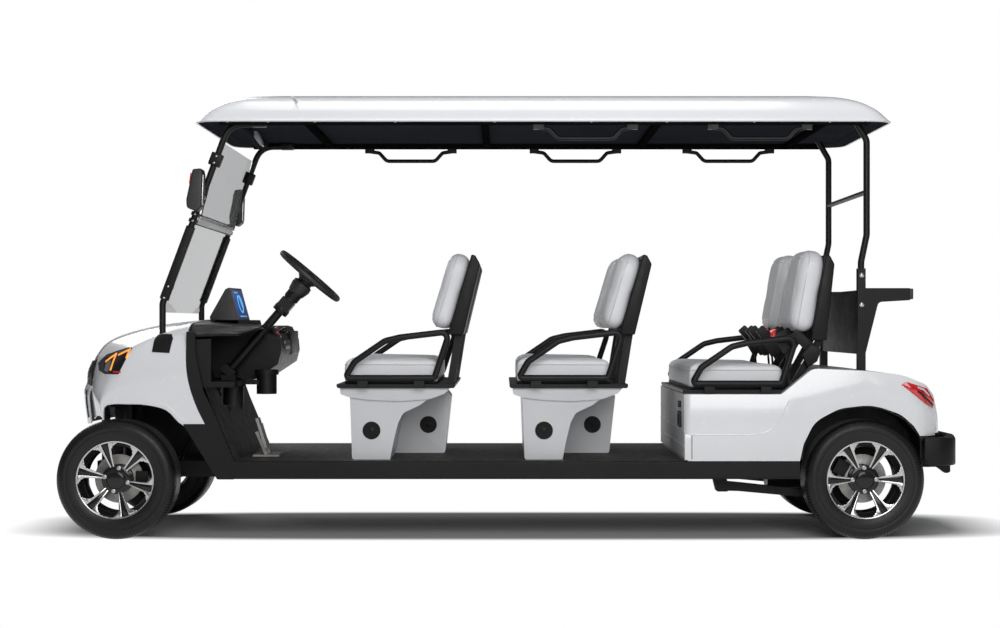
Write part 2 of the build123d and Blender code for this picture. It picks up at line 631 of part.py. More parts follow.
def dashboard():
    """Firewall and toe board, the dash top, the bulged centre panel, a side shelf and two cup holders."""
    wall = skin_prism(at_front(FIREWALL_RUN), PANEL, -INNER_HALF, INNER_HALF)
    shaft_foot = (front(RACK_X), COLUMN_SIDE / 2, RACK_Z)
    top_rows = [(y, at_front(run)) for y, run in DASH_TOP_ROWS]
    mirrored_rows = [(-y, run) for y, run in reversed(top_rows[1:])]
    top = skin_loft(mirrored_rows + top_rows, 10.0)
    bulge_run = at_front([(480, 668), (542, 668), (643, 735), (657, 790), (652, 841), (621, 899), (600, 905)])
    bulge_skin = side_prism(skin_outline(bulge_run[::-1], 8.0), BULGE_LEFT, BULGE_RIGHT)
    cheek = at_front([
        (345, 910), (600, 900), (618, 893, 10), (648, 838, 20), (652, 790, 20), (638, 740, 20),
        (542, 674), (352, 674),
    ])
    cheeks = [
        side_prism(cheek, BULGE_LEFT, BULGE_LEFT + CHEEK),
        side_prism(cheek, BULGE_RIGHT - CHEEK, BULGE_RIGHT),
    ]
    shelf = block(front(SHELF[0]), front(SHELF[1]), -INNER_HALF, BULGE_LEFT, SHELF_TOP - 24, SHELF_TOP)
    shelf_right = block(front(SHELF[0]), front(SHELF[1]), BULGE_LEFT, INNER_HALF, SHELF_TOP - 8, SHELF_TOP)
    end_panels = both([side_prism(at_front(SIDE_BOX), INNER_HALF - CHEEK, INNER_HALF)])
    cups = [cup_holder(*cup) for cup in CUPS]
    holes = [cup_bore(*cup) for cup in CUPS]
    cup_x, cup_y = CUPS[1][:2]
    arm = block(front(SHELF[1] - 10), front(cup_x - 30), cup_y - 36, cup_y + 36, SHELF_TOP - 20, SHELF_TOP)
    body = fuse([wall, top, bulge_skin, shelf, shelf_right, arm, display_housing()] + cheeks + end_panels + cups)
    shaft_way = rod(shaft_foot, column_point(0), SHAFT_HOLE)
    column_way = rod(column_point(60), column_point(300), SHAFT_HOLE + 4)
    return cut(body, holes + [shaft_way, column_way])


def cup_holder(station, y, bottom, top):
    """The outside of a cup holder, with its rim."""
    x = front(station)
    cup = rod((x, y, bottom), (x, y, top), CUP_RADIUS)
    rim_ring = rod((x, y, top - 22), (x, y, top), CUP_RADIUS + 8)
    return fuse([cup, rim_ring])


def cup_bore(station, y, bottom, top):
    """The hollow of a cup holder."""
    x = front(station)
    return rod((x, y, bottom + CUP_WALL), (x, y, top + 60), CUP_RADIUS - CUP_WALL)


def display_housing():
    """The display's wedge-shaped housing on the dash top."""
    outline = at_front([(344, 926), (352, 1000, 10), (400, 1062, 10), (436, 1078, 6), (470, 1074, 6), (524, 917)])
    base = at_front([(345, 912), (470, 904), (524, 900)])
    return side_prism(outline + base[::-1], -DISPLAY_HALF, DISPLAY_HALF)


def screen():
    """The thin screen on the housing's rear face."""
    face = at_front([(470, 1074), (524, 917)])
    low, high = face[1], face[0]
    along = (Vector(high[0], 0, high[1]) - Vector(low[0], 0, low[1])).normalized()
    normal = Vector(along.Z, 0, -along.X)
    start = Vector(low[0], 0, low[1]) + along * 14 + normal * 1.5
    end = Vector(high[0], 0, high[1]) - along * 12 + normal * 1.5
    return bar(start, end, 2 * DISPLAY_HALF - 18, 3.0)


def steering_column():
    """Column tube with its clamp and lever, and the shaft down to the rack."""
    tube_low = rod(column_point(0), column_point(COLUMN_LENGTH - 130), 19)
    clamp = bar(column_point(COLUMN_LENGTH - 190), column_point(COLUMN_LENGTH - 140), 66, 60)
    shroud = rod(column_point(COLUMN_LENGTH - 130), column_point(COLUMN_LENGTH - 26), 34)
    foot = bar(column_point(-10), column_point(26), 90, 60)
    shaft = rod((front(RACK_X), COLUMN_SIDE / 2, RACK_Z), column_point(0), SHAFT_RADIUS)
    lever_start = column_point(COLUMN_LENGTH - 80)
    lever_end = (lever_start[0] - 20, lever_start[1] + 130, lever_start[2] + 20)
    lever = rod(lever_start, lever_end, 6)
    brace = block(front(408), front(470), COLUMN_SIDE - 40, COLUMN_SIDE + 40, SHELF_TOP, SHELF_TOP + 22)
    return fuse([tube_low, clamp, shroud, foot, shaft, lever, brace])


def steering_wheel():
    """Rim, three spokes and a boss, square to the column."""
    centre = Vector(*column_point(COLUMN_LENGTH))
    axis = (Vector(*column_point(COLUMN_LENGTH)) - Vector(*column_point(0))).normalized()
    plane = Plane(centre, x_dir=(0, 1, 0), z_dir=axis)
    radius = WHEEL_RIM_DIAMETER / 2 - 13
    hoop = Solid.make_torus(radius, 13, plane)
    boss = Solid.make_cone(52, 34, 44, Plane(centre - axis * 20, z_dir=axis))
    spokes = []
    for angle in (-90, 20, 160):
        turn = math.radians(angle)
        tip = plane.from_local_coords((radius * math.cos(turn), radius * math.sin(turn), 0))
        root = plane.from_local_coords((30 * math.cos(turn), 30 * math.sin(turn), -6))
        spokes.append(bar(root, tip, 10, 30, across=axis))
    return fuse([hoop, boss] + spokes)


def steering_rack():
    """The rack's housing under the frame, with its rods; each knuckle's arm has its own open joint."""
    x = front(RACK_X)
    housing = rod((x, -180, RACK_Z), (x, 180, RACK_Z), RACK_RADIUS)
    housing = cut(housing, [rod((x, COLUMN_SIDE / 2, RACK_Z), column_point(0), SHAFT_RADIUS)])
    rods = both([rod((x, 180, RACK_Z), (x, 262, RACK_Z), 8)])
    hangers = both([block(x - 12, x + 12, 196, 208, RACK_Z, RAIL_BOTTOM)])
    return fuse([housing] + rods + hangers)


def pedals():
    """Brake and drive pedals on their base plate."""
    pieces = [block(front(545), front(660), -330.0, -130.0, FLOOR_TOP, FLOOR_TOP + 8)]
    for y, width, top in ((-280.0, 70.0, 500.0), (-180.0, 50.0, 470.0)):
        stem = bar((front(600), y, FLOOR_TOP + 4), (front(556), y, top - 60), 16, 14)
        pad = bar((front(600), y, top - 130), (front(560), y, top), width, 12)
        pieces += [stem, pad]
    return fuse(pieces)


# ---------------------------------------------------------------- windshield and struts
STRUT_LINE = [(185, 830), (185, 1000), (469, 1764), (600, 1764)]  # front strut, behind the front axle
STRUT_BENDS = (60, 150)
STRUT_HEAD = (570.0, 625.0)  # front and rear end of the bracket under the roof
CLAMPS = ((1088, 36), (1318, 36), (1418, 36), (1612, 58))  # (height of the middle, length) of the pane clamps
CLAMP_DEPTH = 52.0
SLEEVE = (1008, 1330)  # lower and upper end of the square sleeve
GLASS_LINE = [(203, 966), (336, 1352), (340, 1360), (428, 1694)]
GLASS_HALF = FRONT_STRUT_SIDE - 22.0
FOOT_PLATE = [(152, 780, 8), (150, 900, 8), (222, 900, 8), (218, 776, 8)]
FOOT_THICKNESS = 8.0


def strut_x(z):
    """X of the front strut's middle at a height on its leaning part."""
    (x0, z0), (x1, z1) = STRUT_LINE[1], STRUT_LINE[2]
    return front(x0 + (x1 - x0) * (z - z0) / (z1 - z0))


def front_strut():
    """A bent tube with a foot plate on the fender, a square sleeve and three clamps for the glass."""
    y = FRONT_STRUT_SIDE
    points = [(front(x), y, z) for x, z in STRUT_LINE]
    path = [points[0], points[1] + STRUT_BENDS[:1], points[2] + STRUT_BENDS[1:], points[3]]
    rows = [(y_row, at_front(run)) for y_row, run in FENDER_ROWS]
    under_skin = skin_loft(rows, 70.0)
    stem = cut(tube(path, STRUT_DIAMETER - 2), [under_skin])
    plate = side_prism(at_front(FOOT_PLATE), y - 26, COWL_HALF - 4)
    foot = plate.intersect(skin_loft(rows, -FOOT_THICKNESS)).solid()
    sleeve = bar((strut_x(SLEEVE[0]), y, SLEEVE[0]), (strut_x(SLEEVE[1]), y, SLEEVE[1]), 30, 46)
    rail_face = ROOF_RAIL_SIDE - RAIL_TUBE / 2
    head = block(front(STRUT_HEAD[0]), front(STRUT_HEAD[1]), y - 16, rail_face, LINER_Z - 34, LINER_Z)
    clamps = []
    middle = (GLASS_HALF + y) / 2
    for z, length in CLAMPS:
        low = (strut_x(z - length / 2) + 6, middle, z - length / 2)
        high = (strut_x(z + length / 2) + 6, middle, z + length / 2)
        clamps.append(bar(low, high, y - GLASS_HALF, CLAMP_DEPTH))
    return fuse([stem, foot, sleeve, head] + clamps)


def glass_pane(low, high):
    """A flat pane between the front struts."""
    x0, z0 = front(low[0]), low[1]
    x1, z1 = front(high[0]), high[1]
    lean = math.hypot(x1 - x0, z1 - z0)
    dx = GLASS * (z1 - z0) / lean
    dz = -GLASS * (x1 - x0) / lean
    return side_prism([(x0, z0), (x1, z1), (x1 + dx, z1 + dz), (x0 + dx, z0 + dz)], -GLASS_HALF, GLASS_HALF)


MIRROR_SIDE = BODY_HALF + 5.0
MIRROR_Z = 1478.0


def door_mirror():
    """A mirror's housing on its arm from the front strut."""
    x = strut_x(MIRROR_Z)
    outline = [
        (MIRROR_SIDE - 48, MIRROR_Z - 90, 22), (MIRROR_SIDE + 40, MIRROR_Z - 84, 26),
        (MIRROR_SIDE + 50, MIRROR_Z + 84, 30), (MIRROR_SIDE - 44, MIRROR_Z + 90, 24),
    ]
    housing = front_prism(outline, x - 30, x + 14)
    arm = rod((x, FRONT_STRUT_SIDE + STRUT_DIAMETER / 2 - 1.0, MIRROR_Z), (x, MIRROR_SIDE - 46, MIRROR_Z), 10)
    return fuse([housing, arm])


# ---------------------------------------------------------------- roof
ROOF_LEVELS = [  # (height over the lip, set in at the ends, set in at the sides, corner radius)
    (0.0, 0.0, 0.0, 110.0),
    (17.0, 13.0, 8.0, 110.0),
    (57.0, 52.0, 28.0, 110.0),
    (94.0, 105.0, 70.0, 120.0),
    (122.0, 165.0, 150.0, 130.0),
    (144.0, 235.0, 300.0, 120.0),
]
ROOF_RISE = ROOF_LEVELS[-1][0]
ROOF_WALL = 6.0
LINER_Z = 1784.0
LINER_INSET = 26.0
RAIL_TUBE = 27.0
RAIL_FRONT = 432.0  # behind the front axle
RAIL_REAR = 18.0  # behind the rear axle
RIB_SHARES = (0.134, 0.409, 0.679, 0.937)  # where the ribs lie along the rails


def roof_section(z, ends, sides, radius):
    """A rounded rectangle of the roof's plan at one height."""
    x0 = front(ROOF_FRONT) + ends
    x1 = rear(ROOF_REAR) - ends
    half = ROOF_HALF - sides
    outline = [(x0, -half), (x1, -half), (x1, half), (x0, half)]
    return rounded_wire([(Vector(x, y, z), radius) for x, y in outline], closed=True)


def roof_hull(wall):
    """The roof's crowned form, set in by a wall."""
    sections = []
    for height, ends, sides, radius in ROOF_LEVELS:
        sections.append(roof_section(ROOF_LIP + height - wall, ends + wall, sides + wall, radius))
    return Solid.make_loft(sections, ruled=True)


def roof_shell():
    """The white roof moulding, hollow above its liner."""
    shell = roof_hull(0.0)
    cavity = roof_hull(ROOF_WALL)
    above_liner = block(front(0), rear(REAR_OVERHANG), -ROOF_HALF, ROOF_HALF, LINER_Z + 6, ROOF_LIP + ROOF_RISE)
    cavity = cavity.intersect(above_liner).solid()
    mouth = plan_prism(liner_outline(), ROOF_LIP - 10, LINER_Z + 6)
    return cut(shell, [cavity, mouth])


def liner_outline():
    """The roof's liner in plan, inside the lip."""
    x0 = front(ROOF_FRONT) + LINER_INSET
    x1 = rear(ROOF_REAR) - LINER_INSET
    half = ROOF_HALF - LINER_INSET
    return [(x0, -half, 80), (x1, -half, 80), (x1, half, 80), (x0, half, 80)]


def roof_liner():
    """The flat liner under the roof."""
    return plan_prism(liner_outline(), LINER_Z, LINER_Z + 6)


def roof_rails():
    """Two long rails and the ribs between them, under the liner."""
    bottom = LINER_Z - RAIL_TUBE
    half = RAIL_TUBE / 2
    x0, x1 = front(RAIL_FRONT), rear(RAIL_REAR)
    rails = both([block(x0, x1, ROOF_RAIL_SIDE - half, ROOF_RAIL_SIDE + half, bottom, LINER_Z)])
    ribs = []
    for share in RIB_SHARES:
        x = x0 + (x1 - x0) * share
        ribs.append(block(x - 16, x + 16, -ROOF_RAIL_SIDE, ROOF_RAIL_SIDE, bottom + 7, LINER_Z))
    return fuse(rails + ribs)


HANDLE_LENGTH = 426.0
HANDLE_DROP = 58.0
HANDLE_RADIUS = 9.0
HANDLE_AHEAD = (30.0, 89.0, 92.0)  # a handle's front bracket, behind its row's cushion front


def roof_handle(row, side):
    """A grab handle bent down from two feet on the roof rail."""
    x0 = row_x(row, HANDLE_AHEAD[row])
    x1 = x0 + HANDLE_LENGTH
    top = LINER_Z - RAIL_TUBE
    y = side * ROOF_RAIL_SIDE
    bottom = top - HANDLE_DROP
    points = [
        (x0 + 14, y, top - 12), (x0 + 60, y, top - 18, 20), (x0 + 96, y, bottom, 30),
        (x1 - 96, y, bottom, 30), (x1 - 60, y, top - 18, 20), (x1 - 14, y, top - 12),
    ]
    grip = tube(points, 2 * HANDLE_RADIUS)
    feet = [block(x - 22, x + 22, y - 12, y + 12, top - 20, top) for x in (x0 + 14, x1 - 14)]
    return fuse([grip] + feet)


REAR_STRUT_FRONT = 30.0  # rear strut, behind the rear axle
POST_BACK = 6.0
POST_WIDTH = 34.0
POST_BOTTOM = 690.0  # before the fender's top trims it
POST_TOP = 1150.0
STRUT_KINK = (1178.0, 1294.0)  # lower and upper bend of the tube over a post
STRUT_HEAD_BEND = 1700.0
CROSS_BAR_Z = 1478.0


def rear_struts():
    """Box posts on the rear body, bent tubes up to the roof and a cross bar between them."""
    y = REAR_STRUT_SIDE
    path = [
        (rear(POST_BACK), y, POST_TOP - 40), (rear(POST_BACK), y, STRUT_KINK[0], 60),
        (rear(REAR_STRUT_FRONT), y, STRUT_KINK[1], 60), (rear(REAR_STRUT_FRONT), y, STRUT_HEAD_BEND, 50),
        (rear(-26), y, LINER_Z + 12),
    ]
    above_liner = block(rear(-100), rear(60), y - 60, y + 60, LINER_Z, LINER_Z + 60)
    stem = cut(tube(path, STRUT_DIAMETER), [above_liner])
    half = POST_WIDTH / 2
    post = block(rear(POST_BACK) - half, rear(POST_BACK) + half, y - half, y + half, POST_BOTTOM, POST_TOP)
    post = cut(post, [rear_hull(0.0)])
    cross = rod((rear(REAR_STRUT_FRONT), -y, CROSS_BAR_Z), (rear(REAR_STRUT_FRONT), y, CROSS_BAR_Z), 11)
    return fuse(both([stem, post]) + [cross])


RACK_BOTTOM = 783.0
RACK_TOP = 1066.0
RACK_REACH = 216.0


def bag_rack():
    """A tray frame behind the posts, with side gussets, a panel between the posts and a rear bar."""
    face = rear(POST_BACK) + POST_WIDTH / 2
    gusset = [
        (face, RACK_TOP), (rear(RACK_REACH), RACK_TOP, 6), (rear(RACK_REACH), RACK_TOP - 52, 6),
        (face + 56, RACK_TOP - 60, 20), (face, RACK_BOTTOM),
    ]
    inner = REAR_STRUT_SIDE - 10
    sides = both([side_prism(gusset, inner, REAR_STRUT_SIDE + 10)])
    bars = [
        block(rear(RACK_REACH - 26), rear(RACK_REACH), -inner, inner, RACK_TOP - 46, RACK_TOP - 6),
        block(face, face + 12, -inner, inner, RACK_TOP - 46, RACK_TOP - 6),
    ]
    between = REAR_STRUT_SIDE - POST_WIDTH / 2
    panel = block(rear(POST_BACK) - 10, rear(POST_BACK) + 2, -between, between, RACK_BOTTOM, RACK_TOP - 20)
    return [fuse(sides + bars), panel]


# ---------------------------------------------------------------- seats
PEDESTAL_HALF = BENCH_HALF - 5.0
SPINE_HALF = 92.0
SKIRT_HALF = BENCH_HALF + 6.0
CUSHION_Z = TRAY_Z + TRAY_THICKNESS  # underside of a cushion
SHELL_TOP = 1211.0  # of the covers behind the backs
SHELL_DEPTH = 67.0
TAB_TOP = TRAY_Z + 45.0
Back = namedtuple("Back", "foot height tilt thickness length shell_bottom")
UPRIGHT_BACK = Back(441.0, 884.0, 10.0, 100.0, 363.0, 842.0)
LEANING_BACK = Back(369.0, 895.0, 16.6, 86.0, 360.0, 866.0)
BACKS = (LEANING_BACK, LEANING_BACK, UPRIGHT_BACK)  # foot: lower front edge behind the cushion's front


def row_run(row, run, drop):
    """A run of (behind the cushion's front edge, height) places as (X, Z)."""
    return [(row_x(row, point[0]), point[1] - drop) + tuple(point[2:]) for point in run]


def row_drop(row):
    """How far a row's bench is below the first."""
    return ROW3_DROP if row == ROW_COUNT - 1 else 0.0


def seat_pedestal(row):
    """A moulded seat base: a full-width front, a spine between the rear foot wells and a skirt."""
    box_run = [
        (44, FLOOR_TOP, 10), (206, FLOOR_TOP), (222, 417, 60), (240, 490, 60), (262, 532, 30),
        (334, 566, 60), (380, 600), (35, 601),
    ]
    spine_run = [(200, FLOOR_TOP), (428, FLOOR_TOP, 10), (456, 590, 20), (440, 610), (200, 610)]
    skirt_run = [
        (-7, TRAY_Z), (-5, 613, 10), (35, 599, 10), (121, 588, 200), (249, 583, 200), (377, 592, 100),
        (441, 616, 16), (462, TRAY_Z),
    ]
    box = side_prism(row_run(row, box_run, 0), -PEDESTAL_HALF, PEDESTAL_HALF)
    spine = side_prism(row_run(row, spine_run, 0), -SPINE_HALF, SPINE_HALF)
    skirt = side_prism(row_run(row, skirt_run, 0), -SKIRT_HALF, SKIRT_HALF)
    return fuse([box, spine, skirt])


def armrest(row, side, drop):
    """One closed loop of tube beside the bench, on two tabs of the tray."""
    low = TAB_TOP - 1
    loop = [(18, low, 12), (58, 752, 30), (187, 840, 60), (250, 855, 80), (462, 880, 25), (397, low, 12)]
    y = side * ARMREST_SIDE
    corners = [(x, y, z, radius) for x, z, radius in row_run(row, loop, drop)]
    y0, y1 = sorted((side * (TRAY_HALF - 14), side * (ARMREST_SIDE + 6)))
    z0 = TRAY_Z + 4 - drop
    tabs = [block(row_x(row, x), row_x(row, x + 44), y0, y1, z0, TAB_TOP - drop) for x in (70, 310)]
    return [tube_loop(corners, ARMREST_DIAMETER)] + tabs


def halfway(point, other):
    """The place halfway between two corners of a tube."""
    return tuple((point[axis] + other[axis]) / 2 for axis in range(3))


def tube_loop(corners, diameter):
    """A closed tube of two swept halves; it starts and ends on the run between its last and first corners."""
    start = halfway(corners[-1], corners[0])
    turn = len(corners) - 2
    end = halfway(corners[turn - 1], corners[turn])
    return fuse([tube([start] + corners[:turn] + [end], diameter), tube([end] + corners[turn:] + [start], diameter)])


def seat_frame(row):
    """A bench's tray with its armrests and the brackets that carry the backs."""
    drop = row_drop(row)
    tray = [
        (-20, TRAY_Z + 6, 4), (-14, TRAY_Z), (478, TRAY_Z), (484, TRAY_Z + 6, 4), (484, CUSHION_Z), (-20, CUSHION_Z),
    ]
    pieces = [side_prism(row_run(row, tray, drop), -TRAY_HALF, TRAY_HALF)]
    for side in (-1, 1):
        pieces += armrest(row, side, drop)
    back = BACKS[row]
    head = shell_foot(back) + 30
    low = CUSHION_Z - 4 - drop
    bracket = [(446, low), (478, low), (head + 32, back.shell_bottom), (head, back.shell_bottom)]
    for y in (BACK_INNER + 60, BACK_OUTER - 90):
        pieces += both([side_prism(row_run(row, bracket, 0), y, y + 30)])
    return fuse(pieces)


def seat_cushion(row):
    """A bench cushion, rounded over its top and its ends."""
    drop = row_drop(row)
    length = CUSHION_LENGTH
    low = CUSHION_Z + 0.3
    top = low + CUSHION_HEIGHT
    side_run = [(0, low, 8), (0, top, 44), (length, top - 8, 40), (length, low, 8)]
    end_run = [
        (-BENCH_HALF, low - drop, 8), (BENCH_HALF, low - drop, 8),
        (BENCH_HALF, top - drop, 40), (-BENCH_HALF, top - drop, 40),
    ]
    along = side_prism(row_run(row, side_run, drop), -BENCH_HALF, BENCH_HALF)
    across = front_prism(end_run, row_x(row, -5), row_x(row, length + 5))
    return along.intersect(across).solid()


def back_plane(row):
    """A plane up the front of a row's backs: x across the cart, y up the back, z rearwards."""
    back = BACKS[row]
    tilt = math.radians(back.tilt)
    origin = (row_x(row, back.foot), 0, back.height)
    return Plane(origin, x_dir=(0, 1, 0), z_dir=(math.cos(tilt), 0, -math.sin(tilt)))


def seat_back(row, side):
    """One padded back, rounded at its corners and over its face."""
    back = BACKS[row]
    middle = side * (BACK_INNER + BACK_OUTER) / 2
    width = BACK_OUTER - BACK_INNER
    plane = back_plane(row)
    face = plane * (Pos(middle, back.length / 2) * RectangleRounded(width, back.length, 60))
    pad = extrude(face, amount=back.thickness, dir=plane.z_dir).solid()
    front_edges = pad.faces().sort_by(Axis((0, 0, 0), plane.z_dir))[0].edges()
    return pad.fillet(24, front_edges)


def shell_foot(back):
    """Lower front edge of the cover behind a back, behind the cushion's front."""
    tilt = math.radians(back.tilt)
    return back.foot + back.thickness / math.cos(tilt) + (back.shell_bottom - back.height) * math.tan(tilt)


def seat_shell(row, side):
    """The moulded cover behind one back, with its foot on the brackets."""
    back = BACKS[row]
    y0, y1 = sorted((side * (BACK_INNER + 6), side * (BACK_OUTER - 6)))
    foot = shell_foot(back)
    head = foot + (SHELL_TOP - back.shell_bottom) * math.tan(math.radians(back.tilt))
    shell = [
        (foot, back.shell_bottom), (head, SHELL_TOP), (head + 17, SHELL_TOP - 5, 8),
        (head + 37, SHELL_TOP - 42, 20), (foot + SHELL_DEPTH, back.shell_bottom),
    ]
    return side_prism(row_run(row, shell, 0), y0, y1)


# ---------------------------------------------------------------- rear body
REAR_HALF = BODY_HALF + 5.0
REAR_FACE = ROW3_TO_REAR_AXLE + 17.0  # the kick panel, ahead of the rear axle
REAR_UNDER = 440.0  # height of the rear panel's lower edge
REAR_SHOULDER = 760.0  # height at which the upright sides would end, before the top run trims them
BENCH_TOP = TRAY_Z - ROW3_DROP  # the last bench's tray lies on it
REAR_TOP_RUN = [  # the body's side outline from the kick panel's foot over the fender to the bumper
    (-REAR_FACE, FLOOR_TOP, 0), (-REAR_FACE, BENCH_TOP, 8), (-355, BENCH_TOP, 20), (-222, 724, 60), (5, 714, 400),
    (153, 698, 200), (258, 656, 60), (296, 610, 40), (322, 520, 40), (336, 440, 0),
]
ARCH_RUN = [  # the wheel's opening, from its front foot to its rear end, with corner radii
    (-277, 300), (-277, 334), (-262, 405, 80), (-215, 500, 120), (-110, 556, 160), (30, 572, 240),
    (150, 530, 120), (205, 480, 60), (237, 430), (237, 300),
]


def at_rear(run):
    """A run of places behind the rear axle, as X."""
    return [(rear(point[0]),) + tuple(point[1:]) for point in run]


def inset(outline, distance):
    """A closed outline moved inwards; corner radii shrink with it."""
    area = 0.0
    for (u0, v0, *_), (u1, v1, *_) in zip(outline, outline[1:] + outline[:1]):
        area += u0 * v1 - u1 * v0
    turn = 1.0 if area > 0 else -1.0
    moved = []
    count = len(outline)
    for index, point in enumerate(outline):
        before = outline[index - 1]
        after = outline[(index + 1) % count]
        in_length = math.hypot(point[0] - before[0], point[1] - before[1])
        out_length = math.hypot(after[0] - point[0], after[1] - point[1])
        n0 = (-(point[1] - before[1]) / in_length * turn, (point[0] - before[0]) / in_length * turn)
        n1 = (-(after[1] - point[1]) / out_length * turn, (after[0] - point[0]) / out_length * turn)
        scale = distance / (1 + n0[0] * n1[0] + n0[1] * n1[1])
        corner = (point[0] + (n0[0] + n1[0]) * scale, point[1] + (n0[1] + n1[1]) * scale)
        radius = point[2] if len(point) > 2 else 0
        moved.append(corner + (max(radius - abs(distance) if radius else 0, 0),))
    return moved


def rear_hull(wall):
    """The rear body's outer form, set in by a wall."""
    side_outline = at_rear(REAR_TOP_RUN)
    side_outline += [(rear(200), REAR_UNDER), (rear(200), FLOOR_TOP)]
    plan = [
        (rear(-REAR_FACE), -REAR_HALF, 28), (rear(336), -REAR_HALF, 150),
        (rear(336), REAR_HALF, 150), (rear(-REAR_FACE), REAR_HALF, 28),
    ]
    section = [
        (-REAR_HALF, FLOOR_TOP), (REAR_HALF, FLOOR_TOP), (REAR_HALF, REAR_SHOULDER, 60),
        (-REAR_HALF, REAR_SHOULDER, 60),
    ]
    along = side_prism(inset(side_outline, wall), -REAR_HALF - 20, REAR_HALF + 20)
    upright = plan_prism(inset(plan, wall), FLOOR_TOP - 40, REAR_SHOULDER + 40)
    return along.intersect(upright).solid()


BATTERY_LENGTH = 360.0
BATTERY_HEIGHT = 280.0
BATTERY_HALF = 190.0
POCKET_FRONT = -372.0  # the seat's pocket, behind the rear axle
POCKET_REAR = -190.0
POCKET_HALF = TRAY_HALF + 4.0
POCKET_HEAD = REAR_SHOULDER + 40.0
ARCH_DEPTH = 190.0  # how far a wheel's opening runs in from the side


def rear_body():
    """The hollow white rear moulding with its kick panel and wheel arches."""
    outer = rear_hull(0.0)
    reach = REAR_HALF - PANEL
    pocket = block(rear(POCKET_FRONT), rear(POCKET_REAR), -POCKET_HALF, POCKET_HALF, BENCH_TOP, POCKET_HEAD)
    pocket_wall = block(
        rear(POCKET_FRONT) - PANEL, rear(POCKET_REAR) + PANEL,
        -POCKET_HALF - PANEL, POCKET_HALF + PANEL, BENCH_TOP - PANEL, POCKET_HEAD,
    )
    inner = cut(rear_hull(PANEL), [pocket_wall])
    under = block(rear(-REAR_FACE) + PANEL, rear(201), -reach, reach, FLOOR_TOP - 30, REAR_UNDER - 1)
    behind = block(rear(190), rear(330), 60 - REAR_HALF, REAR_HALF - 60, REAR_UNDER - 40, REAR_UNDER + 10)
    arches = both([side_prism(at_rear(ARCH_RUN), REAR_HALF - ARCH_DEPTH, REAR_HALF + 20)])
    return cut(outer, [pocket, inner, under, behind] + arches)


def battery_pack():
    """The battery, one plain block on the cross members under the last bench."""
    x = rear(-REAR_FACE) + 52
    return block(x, x + BATTERY_LENGTH, -BATTERY_HALF, BATTERY_HALF, RAIL_TOP, RAIL_TOP + BATTERY_HEIGHT)


LINER_WALL = 4.0
LINER_SIDE = REAR_HALF - 204.0


def rear_liner(side):
    """The black wheel-house liner inside a rear arch."""
    run = [(-250, 345), (-236, 420), (-200, 490), (-105, 545), (25, 560), (140, 520), (190, 470), (224, 440)]
    y0, y1 = sorted((side * LINER_SIDE, side * (REAR_HALF - PANEL - 1)))
    return skin_prism(at_rear(run), LINER_WALL, y0, y1)


def taillight(side):
    """A red wedge of lens wrapped over the rear corner."""
    layer = rear_hull(-3.0)
    lamp = at_rear([(150, 656), (172, 668), (262, 640), (300, 584), (292, 556), (250, 578)])
    y0, y1 = sorted((side * (REAR_HALF - 130), side * (REAR_HALF + 10)))
    wedge = side_prism(lamp, y0, y1).intersect(layer).solid()
    lens = cut(wedge, [rear_hull(0.0)])
    return max(lens.solids(), key=lambda solid: solid.volume)


def rear_bumper():
    """The black bumper moulding round the rear."""
    side = REAR_HALF + 3
    corner = rear(FRAME_TAIL - 20)
    back = rear(FRAME_TAIL + 55)
    plan_outer = [
        (rear(246), -side), (corner, -side, 90), (back, -250, 300), (back, 250, 300), (corner, side, 90),
        (rear(246), side),
    ]
    plan_inner = [
        (rear(240), -REAR_HALF + 30), (rear(FRAME_TAIL - 70), -REAR_HALF + 40, 60),
        (rear(FRAME_TAIL + 25), -240, 260), (rear(FRAME_TAIL + 25), 240, 260),
        (rear(FRAME_TAIL - 70), REAR_HALF - 40, 60), (rear(240), REAR_HALF - 30),
    ]
    hoop = cut(plan_prism(plan_outer, 314, 438), [plan_prism(plan_inner, 300, 460)])
    shape = [
        (rear(200), 437), (rear(FRAME_TAIL + 50), 430, 30), (rear(FRAME_TAIL + 70), 380, 40),
        (rear(FRAME_TAIL + 40), 314), (rear(262), 314),
    ]
    hoop = hoop.intersect(side_prism(shape, -REAR_HALF - 10, REAR_HALF + 10)).solid()
    mounts = both([block(rear(FRAME_TAIL), rear(FRAME_TAIL + 28), 150, 210, 330, 390)])
    return [hoop] + mounts


HITCH_Z = 266.0
HITCH_THICKNESS = 12.0
HITCH_PIN_RADIUS = 8.0
HITCH_EDGE = 22.0


def tow_hitch():
    """A flat tongue with its pin hole, under the rear cross member."""
    tip = rear(REAR_OVERHANG)
    tongue = [
        (rear(FRAME_TAIL - 60), -40), (tip, -HITCH_EDGE, HITCH_EDGE - 1), (tip, HITCH_EDGE, HITCH_EDGE - 1),
        (rear(FRAME_TAIL - 60), 40),
    ]
    plate = plan_prism(tongue, HITCH_Z, HITCH_Z + HITCH_THICKNESS)
    pin_x = tip - HITCH_EDGE
    hole = rod((pin_x, 0, HITCH_Z - 1), (pin_x, 0, HITCH_Z + HITCH_THICKNESS + 1), HITCH_PIN_RADIUS)
    riser = block(rear(FRAME_TAIL - 60), rear(FRAME_TAIL), -40, 40, HITCH_Z, RAIL_BOTTOM + KICK_RISE)
    return fuse([cut(plate, [hole]), riser])


def seat_belts():
    """Buckles on stalks and belt reels at the last row's backs."""
    pieces = []
    x = row_x(ROW_COUNT - 1)
    for y in (-BACK_OUTER - 20, 40 - BACK_INNER, BACK_INNER - 40, BACK_OUTER + 20):
        tray_top = CUSHION_Z - ROW3_DROP
        stalk = bar((x + 441, y, tray_top - 10), (x + 425, y, 800), 12, 8)
        stalk = cut(stalk, [block(x + 400, x + 480, y - 20, y + 20, tray_top - 30, tray_top)])
        pieces.append(fuse([stalk, bar((x + 427, y, 795), (x + 395, y, 850), 24, 32)]))
    return pieces


